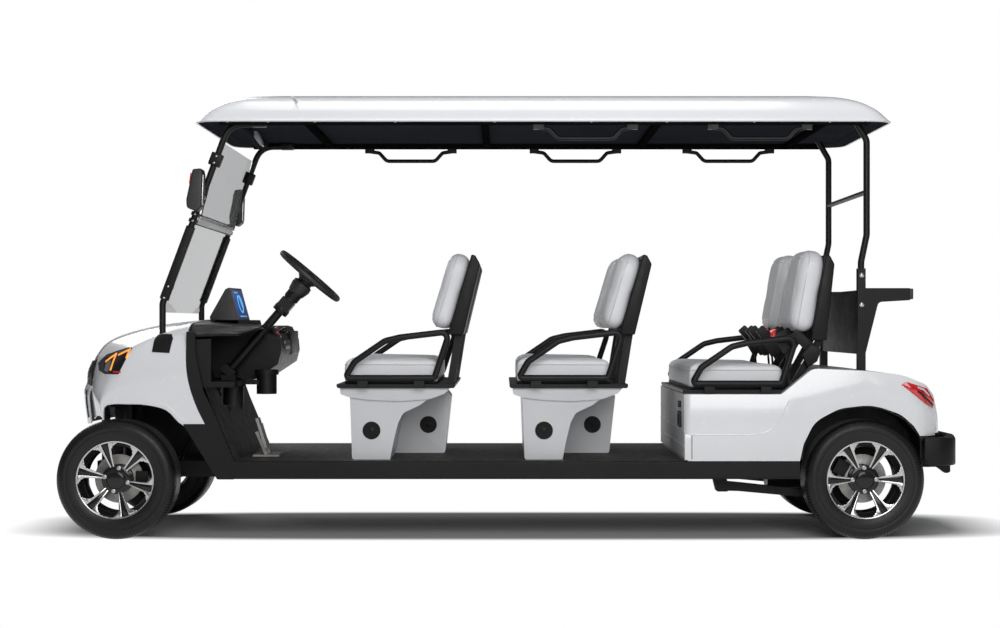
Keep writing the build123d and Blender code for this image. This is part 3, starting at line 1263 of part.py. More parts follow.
# ---------------------------------------------------------------- the cart, node by node
def build_cart():
    """Make every piece and keep it under its name."""
    node("chassis_frame", [chassis_frame()])
    node("floor_deck", [floor_deck()])
    node("side_sills", both([side_sill()]))
    node("front_suspension", front_suspension(-1) + front_suspension(1))
    node("rear_suspension", rear_suspension(-1) + rear_suspension(1))
    node("rear_axle", [rear_axle()])
    node("drive_motor", [drive_motor()])
    node("battery_pack", [battery_pack()])
    node("steering_rack", [steering_rack()])
    cowl = front_cowl()
    node("front_cowl", [cowl])
    node("front_grille", [nose_panel(GRILLE_CENTRE, GRILLE_SIDE)])
    node("front_bumper", [nose_panel(BUMPER_CENTRE, BUMPER_SIDE)])
    node("headlights", [headlight(-1), headlight(1)])
    node("cowl_trim", cowl_trim(cowl))
    node("dashboard", [dashboard()])
    node("display_screen", [screen()])
    node("steering_column", [steering_column()])
    node("pedals", [pedals()])
    node("front_struts", both([front_strut()]))
    node("windshield", [glass_pane(*GLASS_LINE[:2]), glass_pane(*GLASS_LINE[2:])])
    node("mirrors", both([door_mirror()]))
    node("roof_shell", [roof_shell()])
    node("roof_liner", [roof_liner()])
    node("roof_rails", [roof_rails()])
    handles = [roof_handle(0, 1)]
    for row in range(1, ROW_COUNT):
        handles += [roof_handle(row, -1), roof_handle(row, 1)]
    node("roof_handles", handles)
    node("rear_struts", [rear_struts()])
    node("bag_rack", bag_rack())
    node("seat_pedestals", [seat_pedestal(row) for row in range(ROW_COUNT - 1)])
    for row in range(ROW_COUNT):
        node(f"seat_frame_{row + 1}", [seat_frame(row)])
        node(f"seat_cushion_{row + 1}", [seat_cushion(row)])
    places = [(row, side) for row in range(ROW_COUNT) for side in (-1, 1)]
    node("seat_backs", [seat_back(row, side) for row, side in places])
    node("seat_shells", [seat_shell(row, side) for row, side in places])
    node("seat_belts", seat_belts())
    node("rear_body", [rear_body()])
    node("rear_liners", [rear_liner(-1), rear_liner(1)])
    node("taillights", [taillight(-1), taillight(1)])
    node("rear_bumper", rear_bumper())
    node("tow_hitch", [tow_hitch()])
    for label, x, side in (
        ("front_left", FRONT_AXLE, -1), ("front_right", FRONT_AXLE, 1),
        ("rear_left", REAR_AXLE, -1), ("rear_right", REAR_AXLE, 1),
    ):
        node(f"tyre_{label}", [tyre(x, side)])
        node(f"rim_{label}", [rim(x, side)])
    node("knuckle_left", [knuckle(-1)])
    node("knuckle_right", [knuckle(1)])
    node("steering_wheel", [steering_wheel()])


build_cart()
os.makedirs("parts", exist_ok=True)
for name, pieces in NODES.items():
    export_step(Compound(children=pieces), f"parts/{name}.step")
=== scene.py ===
"""Looks of a six-seat golf cart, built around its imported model.

Lengths are millimetres, except in the studio. Stations run rearwards from the front axle, in RearBody and
RearDetails from the rear one. Profiles of turned pieces are (radius, along the axis).
"""
import logging
import math
from dataclasses import dataclass
from enum import Enum
from functools import cache
from typing import Callable, Iterable, Sequence

import bmesh
import bpy
from mathutils import Matrix, Vector


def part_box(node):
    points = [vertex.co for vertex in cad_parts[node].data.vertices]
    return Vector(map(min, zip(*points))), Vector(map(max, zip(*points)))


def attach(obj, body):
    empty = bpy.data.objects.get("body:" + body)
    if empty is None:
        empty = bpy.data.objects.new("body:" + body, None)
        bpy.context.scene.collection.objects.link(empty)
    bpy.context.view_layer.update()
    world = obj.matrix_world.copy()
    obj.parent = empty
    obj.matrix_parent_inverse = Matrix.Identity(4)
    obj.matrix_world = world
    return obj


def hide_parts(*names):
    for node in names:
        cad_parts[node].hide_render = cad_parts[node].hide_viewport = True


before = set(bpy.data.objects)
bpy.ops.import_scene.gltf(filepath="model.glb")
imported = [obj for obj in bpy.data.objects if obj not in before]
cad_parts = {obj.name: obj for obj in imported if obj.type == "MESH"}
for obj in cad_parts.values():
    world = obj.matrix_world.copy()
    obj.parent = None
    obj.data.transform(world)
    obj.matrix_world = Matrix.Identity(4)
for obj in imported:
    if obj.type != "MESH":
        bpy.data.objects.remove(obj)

logging.basicConfig(level=logging.INFO, format="%(message)s")
LOG = logging.getLogger("golf_cart")
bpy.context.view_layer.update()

Values = Sequence[float]
Point = Values
Run = Sequence[Point]
Piece = bpy.types.Object
Socket = bpy.types.NodeSocket
MM = 0.001
PLAIN_WHITE = (1, 1, 1, 1)


class Side(Enum):
    """A side of the cart, by its sign along Y."""

    LEFT = -1
    RIGHT = 1

    @property
    def word(self) -> str:
        """The side's name in lower case."""
        return self.name.lower()


class End(Enum):
    """An axle of the cart."""

    FRONT = "front"
    REAR = "rear"


class Slot(Enum):
    """Material slots of the record, named beside each new piece's finish."""

    BODY = "body_white"
    BASE = "seat_base_white"
    PANE = "clear_pane"
    LAMP = "lamp_lens"
    RED = "red_lens"
    VINYL = "seat_vinyl"
    SCREEN = "screen_glass"
    ALLOY = "bare_aluminium"
    LINER = "dark_liner"
    PLASTIC = "black_plastic"
    STEEL = "black_steel"
    BELT = "belt_black"
    GRIP = "wheel_rubber"
    TYRE = "tyre_rubber"
    RIM = "cast_rim"


# ---------------- finishes
class Nodes:
    """A node tree, with short ways to add and feed nodes."""

    def __init__(self, tree: bpy.types.NodeTree) -> None:
        """Work on a tree."""
        self.tree = tree

    def feed(self, target: Socket, value: object) -> None:
        """Give a socket a value, or a link when the value is itself a socket.

        Args:
            target: The input socket.
            value: Its value or its source.
        """
        if isinstance(value, Socket):
            self.tree.links.new(value, target)
        else:
            target.default_value = value

    def add(self, kind: str, sockets: dict[str | int, object] | None = None,
            **values: object) -> bpy.types.Node:
        """Add a node, set its properties and feed its sockets.

        Args:
            kind: The node's Blender type name.
            sockets: Values or sources of its inputs, by name or place.
            values: Properties of the node by name.

        Returns:
            The new node.
        """
        node = self.tree.nodes.new(kind)
        for name, value in values.items():
            setattr(node, name, value)
        for name, value in (sockets or {}).items():
            self.feed(node.inputs[name], value)
        return node

    def math(self, operation: str, first: object, second: object) -> Socket:
        """The result of a math operation on two values or sockets."""
        return self.add("ShaderNodeMath", {0: first, 1: second}, operation=operation).outputs["Value"]


class Graph(Nodes):
    """A material's node tree around its Principled shader, with the patterns that feed it."""

    def __init__(self, name: str) -> None:
        """Start an empty material.

        Args:
            name: The material's name.
        """
        self.material = bpy.data.materials.new(name)
        self.material.use_nodes = True
        super().__init__(self.material.node_tree)
        self.shader = self.tree.nodes["Principled BSDF"]

    def put(self, **values: object) -> None:
        """Feed the shader's own sockets; underscores stand for spaces."""
        for name, value in values.items():
            self.feed(self.shader.inputs[name.replace("_", " ")], value)

    def place(self, scale: Point = (1, 1, 1)) -> Socket:
        """Object coordinates, scaled along each axis."""
        source = self.add("ShaderNodeTexCoord").outputs["Object"]
        return self.add("ShaderNodeMapping", {"Scale": scale, "Vector": source}).outputs["Vector"]

    def noise(self, scale: float, detail: float = 4) -> Socket:
        """A noise pattern, by its cells in a metre and its octaves of finer noise."""
        sockets = {"Scale": scale, "Detail": detail, "Vector": self.place()}
        return self.add("ShaderNodeTexNoise", sockets).outputs["Fac"]

    def cells(self, scale: float) -> Socket:
        """A pebbled cell pattern, as on vinyl and moulded grain."""
        sockets = {"Scale": scale, "Vector": self.place()}
        return self.add("ShaderNodeTexVoronoi", sockets, feature="SMOOTH_F1").outputs["Distance"]

    def remap(self, source: Socket, low: float, high: float) -> Socket:
        """Map the middle of a pattern's range onto a range of values."""
        sockets = {"From Min": 0.3, "From Max": 0.7, "To Min": low, "To Max": high, "Value": source}
        return self.add("ShaderNodeMapRange", sockets).outputs["Result"]

    def mottled(self, first: Point, second: Point, scale: float, detail: float) -> Socket:
        """Give the shader a base colour that drifts between two.

        Args:
            first: The one colour.
            second: The other colour.
            scale: Patches in a metre.
            detail: Octaves of finer noise.

        Returns:
            The colour socket.
        """
        share = self.remap(self.noise(scale, detail), 0, 1)
        node = self.add("ShaderNodeMix", {"Factor": share}, data_type="RGBA")
        colours = [socket for socket in node.inputs if socket.type == "RGBA"]
        for socket, colour in zip(colours, (first, second)):
            socket.default_value = (*colour, 1)
        mixed = next(socket for socket in node.outputs if socket.type == "RGBA")
        self.put(Base_Color=mixed)
        return mixed

    def bump(self, height: Socket, strength: float, depth: float, below: Socket | None = None) -> Socket:
        """A bump node over an optional other one.

        Args:
            height: Pattern to raise.
            strength: How much of it shows.
            depth: Its real depth in metres.
            below: The normal socket that it adds to.

        Returns:
            The normal socket.
        """
        node = self.add("ShaderNodeBump", {"Strength": strength, "Distance": depth, "Height": height})
        if below is not None:
            self.feed(node.inputs["Normal"], below)
        return node.outputs["Normal"]


@dataclass(frozen=True)
class Finish:
    """A surface with mottled colour, worn roughness and fine grain."""

    name: str
    colour: Point
    second: Point
    roughness: tuple[float, float]
    metallic: float = 0
    coat: float = 0
    coat_roughness: float = 0.05
    mottle: float = 3
    mottle_detail: float = 5
    wear: float = 7
    wear_detail: float = 6
    grain: float = 900
    grain_detail: float = 2
    relief: float = 0.1
    grain_depth: float = 0.0003
    cells: bool = False
    sheen: float = 0
    specular: float = 0.5

    def under_grain(self, graph: Graph) -> Socket | None:
        """The coarser relief that the grain lies on, where there is one."""
        return None

    def build(self) -> bpy.types.Material:
        """Make the material.

        Returns:
            The material.
        """
        graph = Graph(self.name)
        graph.mottled(self.colour, self.second, self.mottle, self.mottle_detail)
        wear = graph.noise(self.mottle * self.wear, self.wear_detail)
        grain = graph.cells(self.grain) if self.cells else graph.noise(self.grain, self.grain_detail)
        grain = graph.bump(grain, self.relief, self.grain_depth, self.under_grain(graph))
        graph.put(Roughness=graph.remap(wear, *self.roughness), Metallic=self.metallic,
                  Normal=grain, Sheen_Weight=self.sheen,
                  Coat_Weight=self.coat, Coat_Roughness=self.coat_roughness, Specular_IOR_Level=self.specular)
        return graph.material


@dataclass(frozen=True)
class PaneFinish:
    """A clear sheet."""

    name: str
    colour: Point
    roughness: float = 0.02
    haze: float = 40
    bend: float = 1.2

    def build(self) -> bpy.types.Material:
        """Make the material.

        Returns:
            The material.
        """
        graph = Graph(self.name)
        smear = graph.remap(graph.noise(self.haze), self.roughness, self.roughness * 2)
        graph.put(Base_Color=(*self.colour, 1), Transmission_Weight=1, IOR=self.bend, Roughness=smear)
        return graph.material


@dataclass(frozen=True)
class LitFinish:
    """A lens or panel that glows as with light of its own behind it; on the belt buttons, which have no lamp,
    the glow is painted light.
    """

    name: str
    colour: Point
    second: Point
    glow: float
    scale: float = 60
    detail: float = 3
    roughness: float = 0.12
    coat: float = 0.8
    coat_roughness: float = 0.03

    def build(self) -> bpy.types.Material:
        """Make the material.

        Returns:
            The material.
        """
        graph = Graph(self.name)
        colour = graph.mottled(self.colour, self.second, self.scale, self.detail)
        graph.put(Emission_Color=colour, Emission_Strength=self.glow, Roughness=self.roughness,
                  Coat_Weight=self.coat, Coat_Roughness=self.coat_roughness)
        return graph.material


@dataclass(frozen=True)
class RibbedFinish(Finish):
    """A surface with fine ribs along the cart under its grain."""

    ribs: float = 26
    rib_strength: float = 0.5
    rib_depth: float = 0.002

    def under_grain(self, graph: Graph) -> Socket:
        """The ribs.

        Args:
            graph: The material's nodes.

        Returns:
            The normal socket.
        """
        sockets = {"Scale": self.ribs, "Vector": graph.place()}
        wave = graph.add("ShaderNodeTexWave", sockets, bands_direction="Y").outputs["Fac"]
        return graph.bump(wave, self.rib_strength, self.rib_depth)


AnyFinish = Finish | PaneFinish | LitFinish

WHITE_PAINT = Finish("white_paint", (0.80, 0.81, 0.83), (0.83, 0.84, 0.86), (0.2, 0.28), coat=0.7,
                     coat_roughness=0.1, grain=220, relief=0.02, grain_depth=0.0002)
BASE_WHITE = Finish("moulded_white", (0.62, 0.63, 0.65), (0.67, 0.68, 0.7), (0.32, 0.42), coat=0.25,
                    coat_roughness=0.25, relief=0.08)
# A darker, duller copy of the white for the kick panel and its ribs: painted shade.
PAINTED_SHADE_WHITE = Finish("shaded_white", (0.62, 0.62, 0.63), (0.66, 0.66, 0.67), (0.6, 0.7),
                      relief=0.08, specular=0.08)
# Pale grey for seals and bars; laid along the roof nose's creases, the same grey is painted shade.
PALE_SEAL_AND_CREASE_SHADE = Finish("pale_seal", (0.5, 0.5, 0.5), (0.6, 0.6, 0.6), (0.3, 0.4), relief=0.05)
BLACK_COAT = Finish("black_powder_coat", (0.005, 0.005, 0.0055), (0.009, 0.0085, 0.008), (0.34, 0.46),
                    grain=1400, relief=0.18, specular=0.22)
BLACK_PLASTIC = Finish("black_moulding", (0.005, 0.005, 0.0055), (0.009, 0.0085, 0.008), (0.38, 0.52),
                       grain=1100, relief=0.3, cells=True, specular=0.2)
SOFT_BLACK = Finish("soft_black_grip", (0.012, 0.012, 0.012), (0.02, 0.02, 0.02), (0.42, 0.55),
                    grain=1600, relief=0.3, cells=True)
GLOSS_BLACK = Finish("gloss_black", (0.01, 0.01, 0.011), (0.016, 0.016, 0.017), (0.12, 0.2), coat=0.15,
                     grain=300, relief=0.02, specular=0.25)
TYRE_RUBBER = Finish("tyre_rubber", (0.007, 0.007, 0.0068), (0.011, 0.0105, 0.0098), (0.34, 0.48), mottle=9,
                     grain=1500, relief=0.25, specular=0.3)
LINER_BLACK = Finish("roof_liner_black", (0.040, 0.042, 0.050), (0.052, 0.054, 0.064), (0.5, 0.6), mottle=2,
                     grain=500, relief=0.15, specular=0)
RAIL_BLACK = Finish("roof_rail_black", (0.008, 0.008, 0.0085), (0.012, 0.012, 0.012), (0.5, 0.6),
                    grain=1400, relief=0.18, specular=0)
CAST_STEEL = Finish("dull_cast_metal", (0.26, 0.25, 0.24), (0.36, 0.35, 0.33), (0.35, 0.55), metallic=1,
                    mottle=14, grain=700, relief=0.3)
MACHINED = Finish("machined_alloy", (0.46, 0.46, 0.465), (0.54, 0.54, 0.545), (0.2, 0.3), metallic=1,
                  mottle=20, grain=1800, relief=0.06)
BARE_ALLOY = Finish("brushed_alloy", (0.42, 0.42, 0.42), (0.56, 0.55, 0.54), (0.3, 0.46), metallic=0.9,
                    mottle=20, relief=0.2)
VINYL = Finish("grained_vinyl", (0.74, 0.75, 0.77), (0.79, 0.80, 0.82), (0.4, 0.5), grain=1500,
               relief=0.22, grain_depth=0.0004, cells=True, sheen=0.05)
VINYL_WELT = Finish("vinyl_welt", (0.62, 0.63, 0.65), (0.68, 0.69, 0.71), (0.42, 0.52), grain=1500,
                    relief=0.2, cells=True)
WARM_GREY = Finish("warm_grey_frame", (0.10, 0.085, 0.075), (0.14, 0.12, 0.105), (0.3, 0.42))
MAROON = Finish("maroon_moulding", (0.16, 0.012, 0.015), (0.2, 0.02, 0.022), (0.2, 0.3), coat=0.5,
                relief=0.05)
# The grey tint darkens the panes in place of the darker reflections in them: painted reflection.
CLEAR_PANE = PaneFinish("clear_pane", (0.48, 0.485, 0.49), bend=1.04)
RED_LENS = LitFinish("red_lens", (0.45, 0.008, 0.012), (0.65, 0.02, 0.03), 0.12)
AMBER_BAR = LitFinish("amber_bar", (1, 0.28, 0.02), (1, 0.4, 0.05), 0.9)
BLUE_PANEL = LitFinish("blue_panel", (0.003, 0.035, 0.22), (0.006, 0.10, 0.42), 0.6, 9)
PALE_GLOW = LitFinish("pale_glow", (0.1, 0.45, 0.8), (0.2, 0.6, 0.9), 1)
MATTING = RibbedFinish("floor_matting", (0.022, 0.019, 0.016), (0.034, 0.03, 0.026), (0.5, 0.72), mottle=4,
                       wear=7.5, wear_detail=4, grain=700, relief=0.2, grain_depth=0.0004)


@cache
def material(finish: AnyFinish) -> bpy.types.Material:
    """The material of a finish, made when it is first asked for."""
    return finish.build()


NODE_FINISHES: dict[AnyFinish, tuple[str, ...]] = {
    WHITE_PAINT: ("front_cowl", "front_bumper", "roof_shell", "rear_body"),
    BASE_WHITE: ("seat_pedestals",),
    BLACK_COAT: (
        "chassis_frame", "front_suspension", "rear_suspension", "rear_axle", "drive_motor", "steering_rack",
        "front_struts", "roof_handles", "rear_struts", "bag_rack", "seat_frame_1", "seat_frame_2",
        "seat_frame_3", "tow_hitch", "knuckle_left", "knuckle_right", "steering_column",
    ),
    BLACK_PLASTIC: (
        "side_sills", "cowl_trim", "dashboard", "front_grille", "seat_shells", "rear_liners", "rear_bumper",
        "mirrors", "seat_belts", "battery_pack",
    ),
    MATTING: ("floor_deck",),
    LINER_BLACK: ("roof_liner",),
    RAIL_BLACK: ("roof_rails",),
    CLEAR_PANE: ("windshield",),
    GLOSS_BLACK: ("headlights",),
    RED_LENS: ("taillights",),
    BLUE_PANEL: ("display_screen",),
    CAST_STEEL: ("pedals",),
    SOFT_BLACK: ("steering_wheel",),
    VINYL: ("seat_cushion_1", "seat_cushion_2", "seat_cushion_3", "seat_backs"),
    TYRE_RUBBER: ("tyre_front_left", "tyre_front_right", "tyre_rear_left", "tyre_rear_right"),
    MACHINED: ("rim_front_left", "rim_front_right", "rim_rear_left", "rim_rear_right"),
}


def dress_nodes() -> None:
    """Give each CAD node its finish."""
    for finish, names in NODE_FINISHES.items():
        for name in names:
            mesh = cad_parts[name].data
            mesh.materials.clear()
            mesh.materials.append(material(finish))
            LOG.info("dressed %s in %s", name, finish.name)


# ---------------- workbench
def rounded(corners: Run, steps: int = 5) -> list[tuple[float, float]]:
    """Round the corners of a closed outline.

    Args:
        corners: Points (u, v) or (u, v, radius) in order.
        steps: Straight pieces in each rounded corner.

    Returns:
        The points of the outline.
    """
    most_of_edge = 0.49
    points: list[tuple[float, float]] = []
    for index, corner in enumerate(corners):
        here = Vector(corner[:2])
        radius = corner[2] if len(corner) > 2 else 0
        if not radius:
            points.append((here.x, here.y))
            continue
        before = Vector(corners[index - 1][:2]) - here
        after = Vector(corners[(index + 1) % len(corners)][:2]) - here
        reach = radius / math.tan(before.angle(after) / 2)
        reach = min(reach, most_of_edge * before.length, most_of_edge * after.length)
        start = here + before.normalized() * reach
        end = here + after.normalized() * reach
        for step in range(steps + 1):
            share = step / steps
            bend = start * (1 - share) ** 2 + here * 2 * share * (1 - share) + end * share**2
            points.append((bend.x, bend.y))
    return points


def rounded_box(low: Point, high: Point, radius: float, steps: int) -> list[tuple[float, float]]:
    """The outline of a rectangle between two corners (u, v), with its corners rounded."""
    (u0, v0), (u1, v1) = low, high
    return rounded([(u0, v0, radius), (u1, v0, radius), (u1, v1, radius), (u0, v1, radius)], steps)


def smooth_run(points: Run, steps: int = 6) -> list[Vector]:
    """A curve through points.

    Args:
        points: Points of any size, in order.
        steps: Pieces between two points.

    Returns:
        Points along the curve, the first and last as given.
    """
    known = [Vector(point) for point in points]
    padded = [known[0] * 2 - known[1]] + known + [known[-1] * 2 - known[-2]]
    curve: list[Vector] = []
    for p0, p1, p2, p3 in zip(padded, padded[1:], padded[2:], padded[3:]):
        for step in range(steps):
            t = step / steps
            curve.append(
                p1 + (p2 - p0) * (0.5 * t) + (p0 * 2 - p1 * 5 + p2 * 4 - p3) * (0.5 * t * t)
                + (p1 * 3 - p0 - p2 * 3 + p3) * (0.5 * t**3)
            )
    return curve + [known[-1]]


class Bench:
    """The modelling tools: shapes added in place, then shaped in edit mode."""

    merge_distance = 0.00002

    @staticmethod
    def clear() -> None:
        """Deselect every object."""
        bpy.ops.object.select_all(action="DESELECT")

    @classmethod
    def hold(cls, piece: Piece) -> None:
        """Select one piece alone and make it active.

        Args:
            piece: The piece.
        """
        cls.clear()
        piece.select_set(True)
        bpy.context.view_layer.objects.active = piece

    @classmethod
    def open(cls, piece: Piece, mode: str = "FACE") -> None:
        """Open a piece in edit mode with all of it selected.

        Args:
            piece: The piece.
            mode: What is selected: VERT, EDGE or FACE.
        """
        cls.hold(piece)
        bpy.ops.object.mode_set(mode="EDIT")
        bpy.ops.mesh.select_mode(type=mode)
        bpy.ops.mesh.select_all(action="SELECT")

    @staticmethod
    def close() -> None:
        """Leave edit mode."""
        bpy.ops.object.mode_set(mode="OBJECT")

    @classmethod
    def face_out(cls, piece: Piece) -> None:
        """Turn every face of a piece outwards."""
        cls.open(piece)
        cls.close_outward()

    @classmethod
    def close_outward(cls) -> None:
        """Turn every face of the open piece outwards and leave edit mode."""
        bpy.ops.mesh.select_all(action="SELECT")
        bpy.ops.mesh.normals_make_consistent(inside=False)
        cls.close()

    @staticmethod
    def added(name: str) -> Piece:
        """Name the active piece and its mesh, and give the piece."""
        bpy.context.object.name = bpy.context.object.data.name = name
        return bpy.context.object

    @classmethod
    def ring(cls, name: str, places: Run, filled: bool) -> Piece:
        """A ring of edges through places.

        Args:
            name: Name of the piece.
            places: Its corners in metres.
            filled: Whether a face fills it.

        Returns:
            The ring.
        """
        cls.clear()
        bpy.ops.mesh.primitive_circle_add(vertices=len(places), fill_type="NGON" if filled else "NOTHING")
        piece = cls.added(name)
        for vertex, place in zip(piece.data.vertices, places):
            vertex.co = place
        return piece

    @classmethod
    def plate(cls, name: str, places: Run, push: Point, bevel: float = 0, segments: int = 2) -> Piece:
        """A plate: a filled outline, extruded.

        Args:
            name: Name of the piece.
            places: Corners of the outline, in metres.
            push: The extrusion.
            bevel: Width of the bevel on its edges.
            segments: Steps across a bevel.

        Returns:
            The plate.
        """
        piece = cls.ring(name, places, True)
        cls.open(piece)
        bpy.ops.mesh.extrude_region_move(TRANSFORM_OT_translate={"value": tuple(push)})
        cls.close_outward()
        if bevel:
            cls.bevel(piece, bevel, segments)
        return piece

    @classmethod
    def side_plate(cls, name: str, outline: Run, y0: float, y1: float, bevel: float = 0,
                   segments: int = 2) -> Piece:
        """A plate with its outline in (x, z), between two places across the cart, all in millimetres."""
        places = [(x * MM, y0 * MM, z * MM) for x, z in outline]
        return cls.plate(name, places, (0, (y1 - y0) * MM, 0), bevel * MM, segments)

    @classmethod
    def turned(cls, name: str, profile: Run, centre: Point, axis: Point, steps: int = 48) -> Piece:
        """A closed (radius, along) profile turned about an axis, all in millimetres.

        Args:
            name: Name of the piece.
            profile: The profile's corners.
            centre: The point of the axis where along is zero.
            axis: Direction of the axis.
            steps: Pieces of the full turn.

        Returns:
            The turned piece.
        """
        middle = Vector(centre) * MM
        way = Vector(axis).normalized()
        out = way.orthogonal().normalized()
        places = [middle + out * (radius * MM) + way * (along * MM) for radius, along in profile]
        piece = cls.ring(name, places, False)
        cls.open(piece, "VERT")
        bpy.ops.mesh.spin(steps=steps, angle=math.tau, center=middle, axis=way)
        bpy.ops.mesh.select_all(action="SELECT")
        bpy.ops.mesh.remove_doubles(threshold=cls.merge_distance)
        cls.close_outward()
        return piece

    @classmethod
    def heads(cls, name: str, profile: Run, centres: Run, axis: Point, steps: int) -> Piece:
        """The same turned shape at several centres, joined."""
        return cls.joined(name, [cls.turned(name, profile, centre, axis, steps) for centre in centres])

    @classmethod
    def block(cls, name: str, low: Point, high: Point, bevel: float = 2, segments: int = 2) -> Piece:
        """A box with rounded edges, all in millimetres.

        Args:
            name: Name of the piece.
            low: Its lowest corner.
            high: Its highest corner.
            bevel: Width of the bevel on its edges.
            segments: Steps across a bevel.

        Returns:
            The box.
        """
        start, end = Vector(low) * MM, Vector(high) * MM
        cls.clear()
        bpy.ops.mesh.primitive_cube_add(size=1, location=(start + end) / 2, scale=end - start)
        piece = cls.added(name)
        bpy.ops.object.transform_apply(location=True, rotation=True, scale=True)
        if bevel:
            cls.bevel(piece, bevel * MM, segments)
        return piece

    @classmethod
    def pipe(cls, name: str, route: Run, radius: float, closed: bool = False, sides: int = 16) -> Piece:
        """A round tube along a route, in millimetres.

        Args:
            name: Name of the piece.
            route: Points of the tube's middle line.
            radius: Its radius.
            closed: Whether its end meets its start.
            sides: Faces round it.

        Returns:
            The tube.
        """
        data = bpy.data.curves.new(name, "CURVE")
        data.dimensions = "3D"
        data.bevel_depth = radius * MM
        data.bevel_resolution = sides // 4
        data.use_fill_caps = not closed
        spline = data.splines.new("POLY")
        spline.points.add(len(route) - 1)
        for point, place in zip(spline.points, route):
            point.co = (*(Vector(place) * MM), 1)
        spline.use_cyclic_u = closed
        cls.hold(cls.linked(name, data))
        bpy.ops.object.convert(target="MESH")
        return bpy.context.object

    @staticmethod
    def linked(name: str, data: bpy.types.ID) -> Piece:
        """A new object for some data, put in the scene.

        Args:
            name: Name of the object.
            data: Its mesh, curve, light or camera.

        Returns:
            The object.
        """
        piece = bpy.data.objects.new(name, data)
        bpy.context.scene.collection.objects.link(piece)
        return piece

    @classmethod
    def sheet(cls, name: str, rows: Sequence[Run], outward: Point, along: int = 4, across: int = 4) -> Piece:
        """A curved sheet with no thickness, through rows of points in millimetres.

        Args:
            name: Name of the piece.
            rows: Rows with the same number of points.
            outward: The way that its middle faces.
            along: Pieces between two points of a row.
            across: Pieces between two rows.

        Returns:
            The sheet.
        """
        lines = [smooth_run(row, along) for row in rows]
        columns = [smooth_run(column, across) for column in zip(*lines)]
        u_count, v_count = len(columns) - 1, len(columns[0]) - 1
        cls.clear()
        bpy.ops.mesh.primitive_grid_add(x_subdivisions=u_count, y_subdivisions=v_count, size=2)
        piece = cls.added(name)
        for vertex in piece.data.vertices:
            u = round((vertex.co.x + 1) / 2 * u_count)
            v = round((vertex.co.y + 1) / 2 * v_count)
            vertex.co = columns[u][v] * MM
        piece.data.update()
        facing = sum((face.normal * face.area for face in piece.data.polygons), Vector())
        if facing.dot(Vector(outward)) < 0:
            piece.data.flip_normals()
        return piece

    @classmethod
    def walled(cls, piece: Piece, wall: float, offset: float = 0) -> None:
        """Give a sheet a wall, by its thickness and its side of the sheet from -1 to 1."""
        cls.modify(piece, "SOLIDIFY", thickness=wall * MM, offset=offset)
        cls.face_out(piece)

    @classmethod
    def patch(cls, name: str, sheet: Piece, outline: Run, lift: float, wall: float) -> Piece:
        """A piece of a sheet inside a convex (x, z) outline, lifted off it and given a wall.

        Args:
            name: Name of the piece.
            sheet: The sheet that it lies on.
            outline: Corners of the outline in millimetres.
            lift: Its height over the sheet in millimetres.
            wall: Its thickness in millimetres.

        Returns:
            The patch.
        """
        piece = cls.copied(name, sheet)
        middle = sum((Vector(point[:2]) for point in outline), Vector((0, 0))) / len(outline)
        cls.open(piece)
        for start, end in zip(outline, [*outline[1:], outline[0]]):
            edge = Vector(end[:2]) - Vector(start[:2])
            normal = Vector((edge.y, -edge.x)).normalized()
            if normal.dot(middle - Vector(start[:2])) > 0:
                normal.negate()
            bpy.ops.mesh.select_all(action="SELECT")
            bpy.ops.mesh.bisect(plane_co=(start[0] * MM, 0, start[1] * MM), plane_no=(normal.x, 0, normal.y),
                                clear_outer=True)
        cls.close()
        cls.modify(piece, "DISPLACE", strength=(lift + wall / 2) * MM, mid_level=0, direction="NORMAL")
        cls.walled(piece, wall)
        return piece

    @staticmethod
    def traced(sheet: Piece, starts: Run, way: Point) -> list[Vector]:
        """Where rays first meet a sheet, in millimetres.

        Args:
            sheet: The sheet.
            starts: Where the rays start.
            way: Their direction.

        Returns:
            The meeting points of those rays that meet it.
        """
        places = []
        for start in starts:
            hit, place, _, _ = sheet.ray_cast(Vector(start) * MM, Vector(way))
            if hit:
                places.append(place / MM)
        return places

    @classmethod
    def modify(cls, piece: Piece, kind: str, **values: object) -> None:
        """Add a modifier, set it and apply it.

        Args:
            piece: The piece.
            kind: The modifier's Blender type name.
            values: Its properties by name.
        """
        cls.hold(piece)
        modifier = piece.modifiers.new(kind.lower(), kind)
        for name, value in values.items():
            setattr(modifier, name, value)
        bpy.ops.object.modifier_apply(modifier=modifier.name)

    @classmethod
    def bevel(cls, piece: Piece, width: float, segments: int = 2, angle: float = 32) -> None:
        """Round a piece's sharp edges by a width in metres."""
        cls.modify(piece, "BEVEL", width=width, segments=segments, limit_method="ANGLE",
                   angle_limit=math.radians(angle), harden_normals=False, use_clamp_overlap=True)

    @classmethod
    def copied(cls, name: str, source: Piece, matrix: Matrix | None = None) -> Piece:
        """A copy of a piece with its own mesh.

        Args:
            name: Name of the copy.
            source: The piece to copy.
            matrix: How its mesh is moved or mirrored.

        Returns:
            The copy.
        """
        mesh = source.data.copy()
        mesh.name = name
        if matrix is not None:
            mesh.transform(matrix)
            if matrix.determinant() < 0:
                mesh.flip_normals()
        return cls.linked(name, mesh)

    @classmethod
    def from_node(cls, name: str, node: str, flat: float = 1) -> Piece:
        """A copy of a CAD node's mesh, with its points merged and its flat faces joined.

        Args:
            name: Name of the copy.
            node: The node.
            flat: Faces that meet at less than this many degrees are joined.

        Returns:
            The copy.
        """
        piece = cls.copied(name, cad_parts[node])
        cls.open(piece, "VERT")
        bpy.ops.mesh.remove_doubles(threshold=cls.merge_distance)
        bpy.ops.mesh.dissolve_limited(angle_limit=math.radians(flat))
        cls.close()
        return piece

    @classmethod
    def joined(cls, name: str, parts: Sequence[Piece]) -> Piece:
        """Join pieces into the first of them.

        Args:
            name: Name of the whole.
            parts: The pieces.

        Returns:
            The whole.
        """
        cls.clear()
        for part in parts:
            part.select_set(True)
        bpy.context.view_layer.objects.active = parts[0]
        bpy.ops.object.join()
        return cls.added(name)

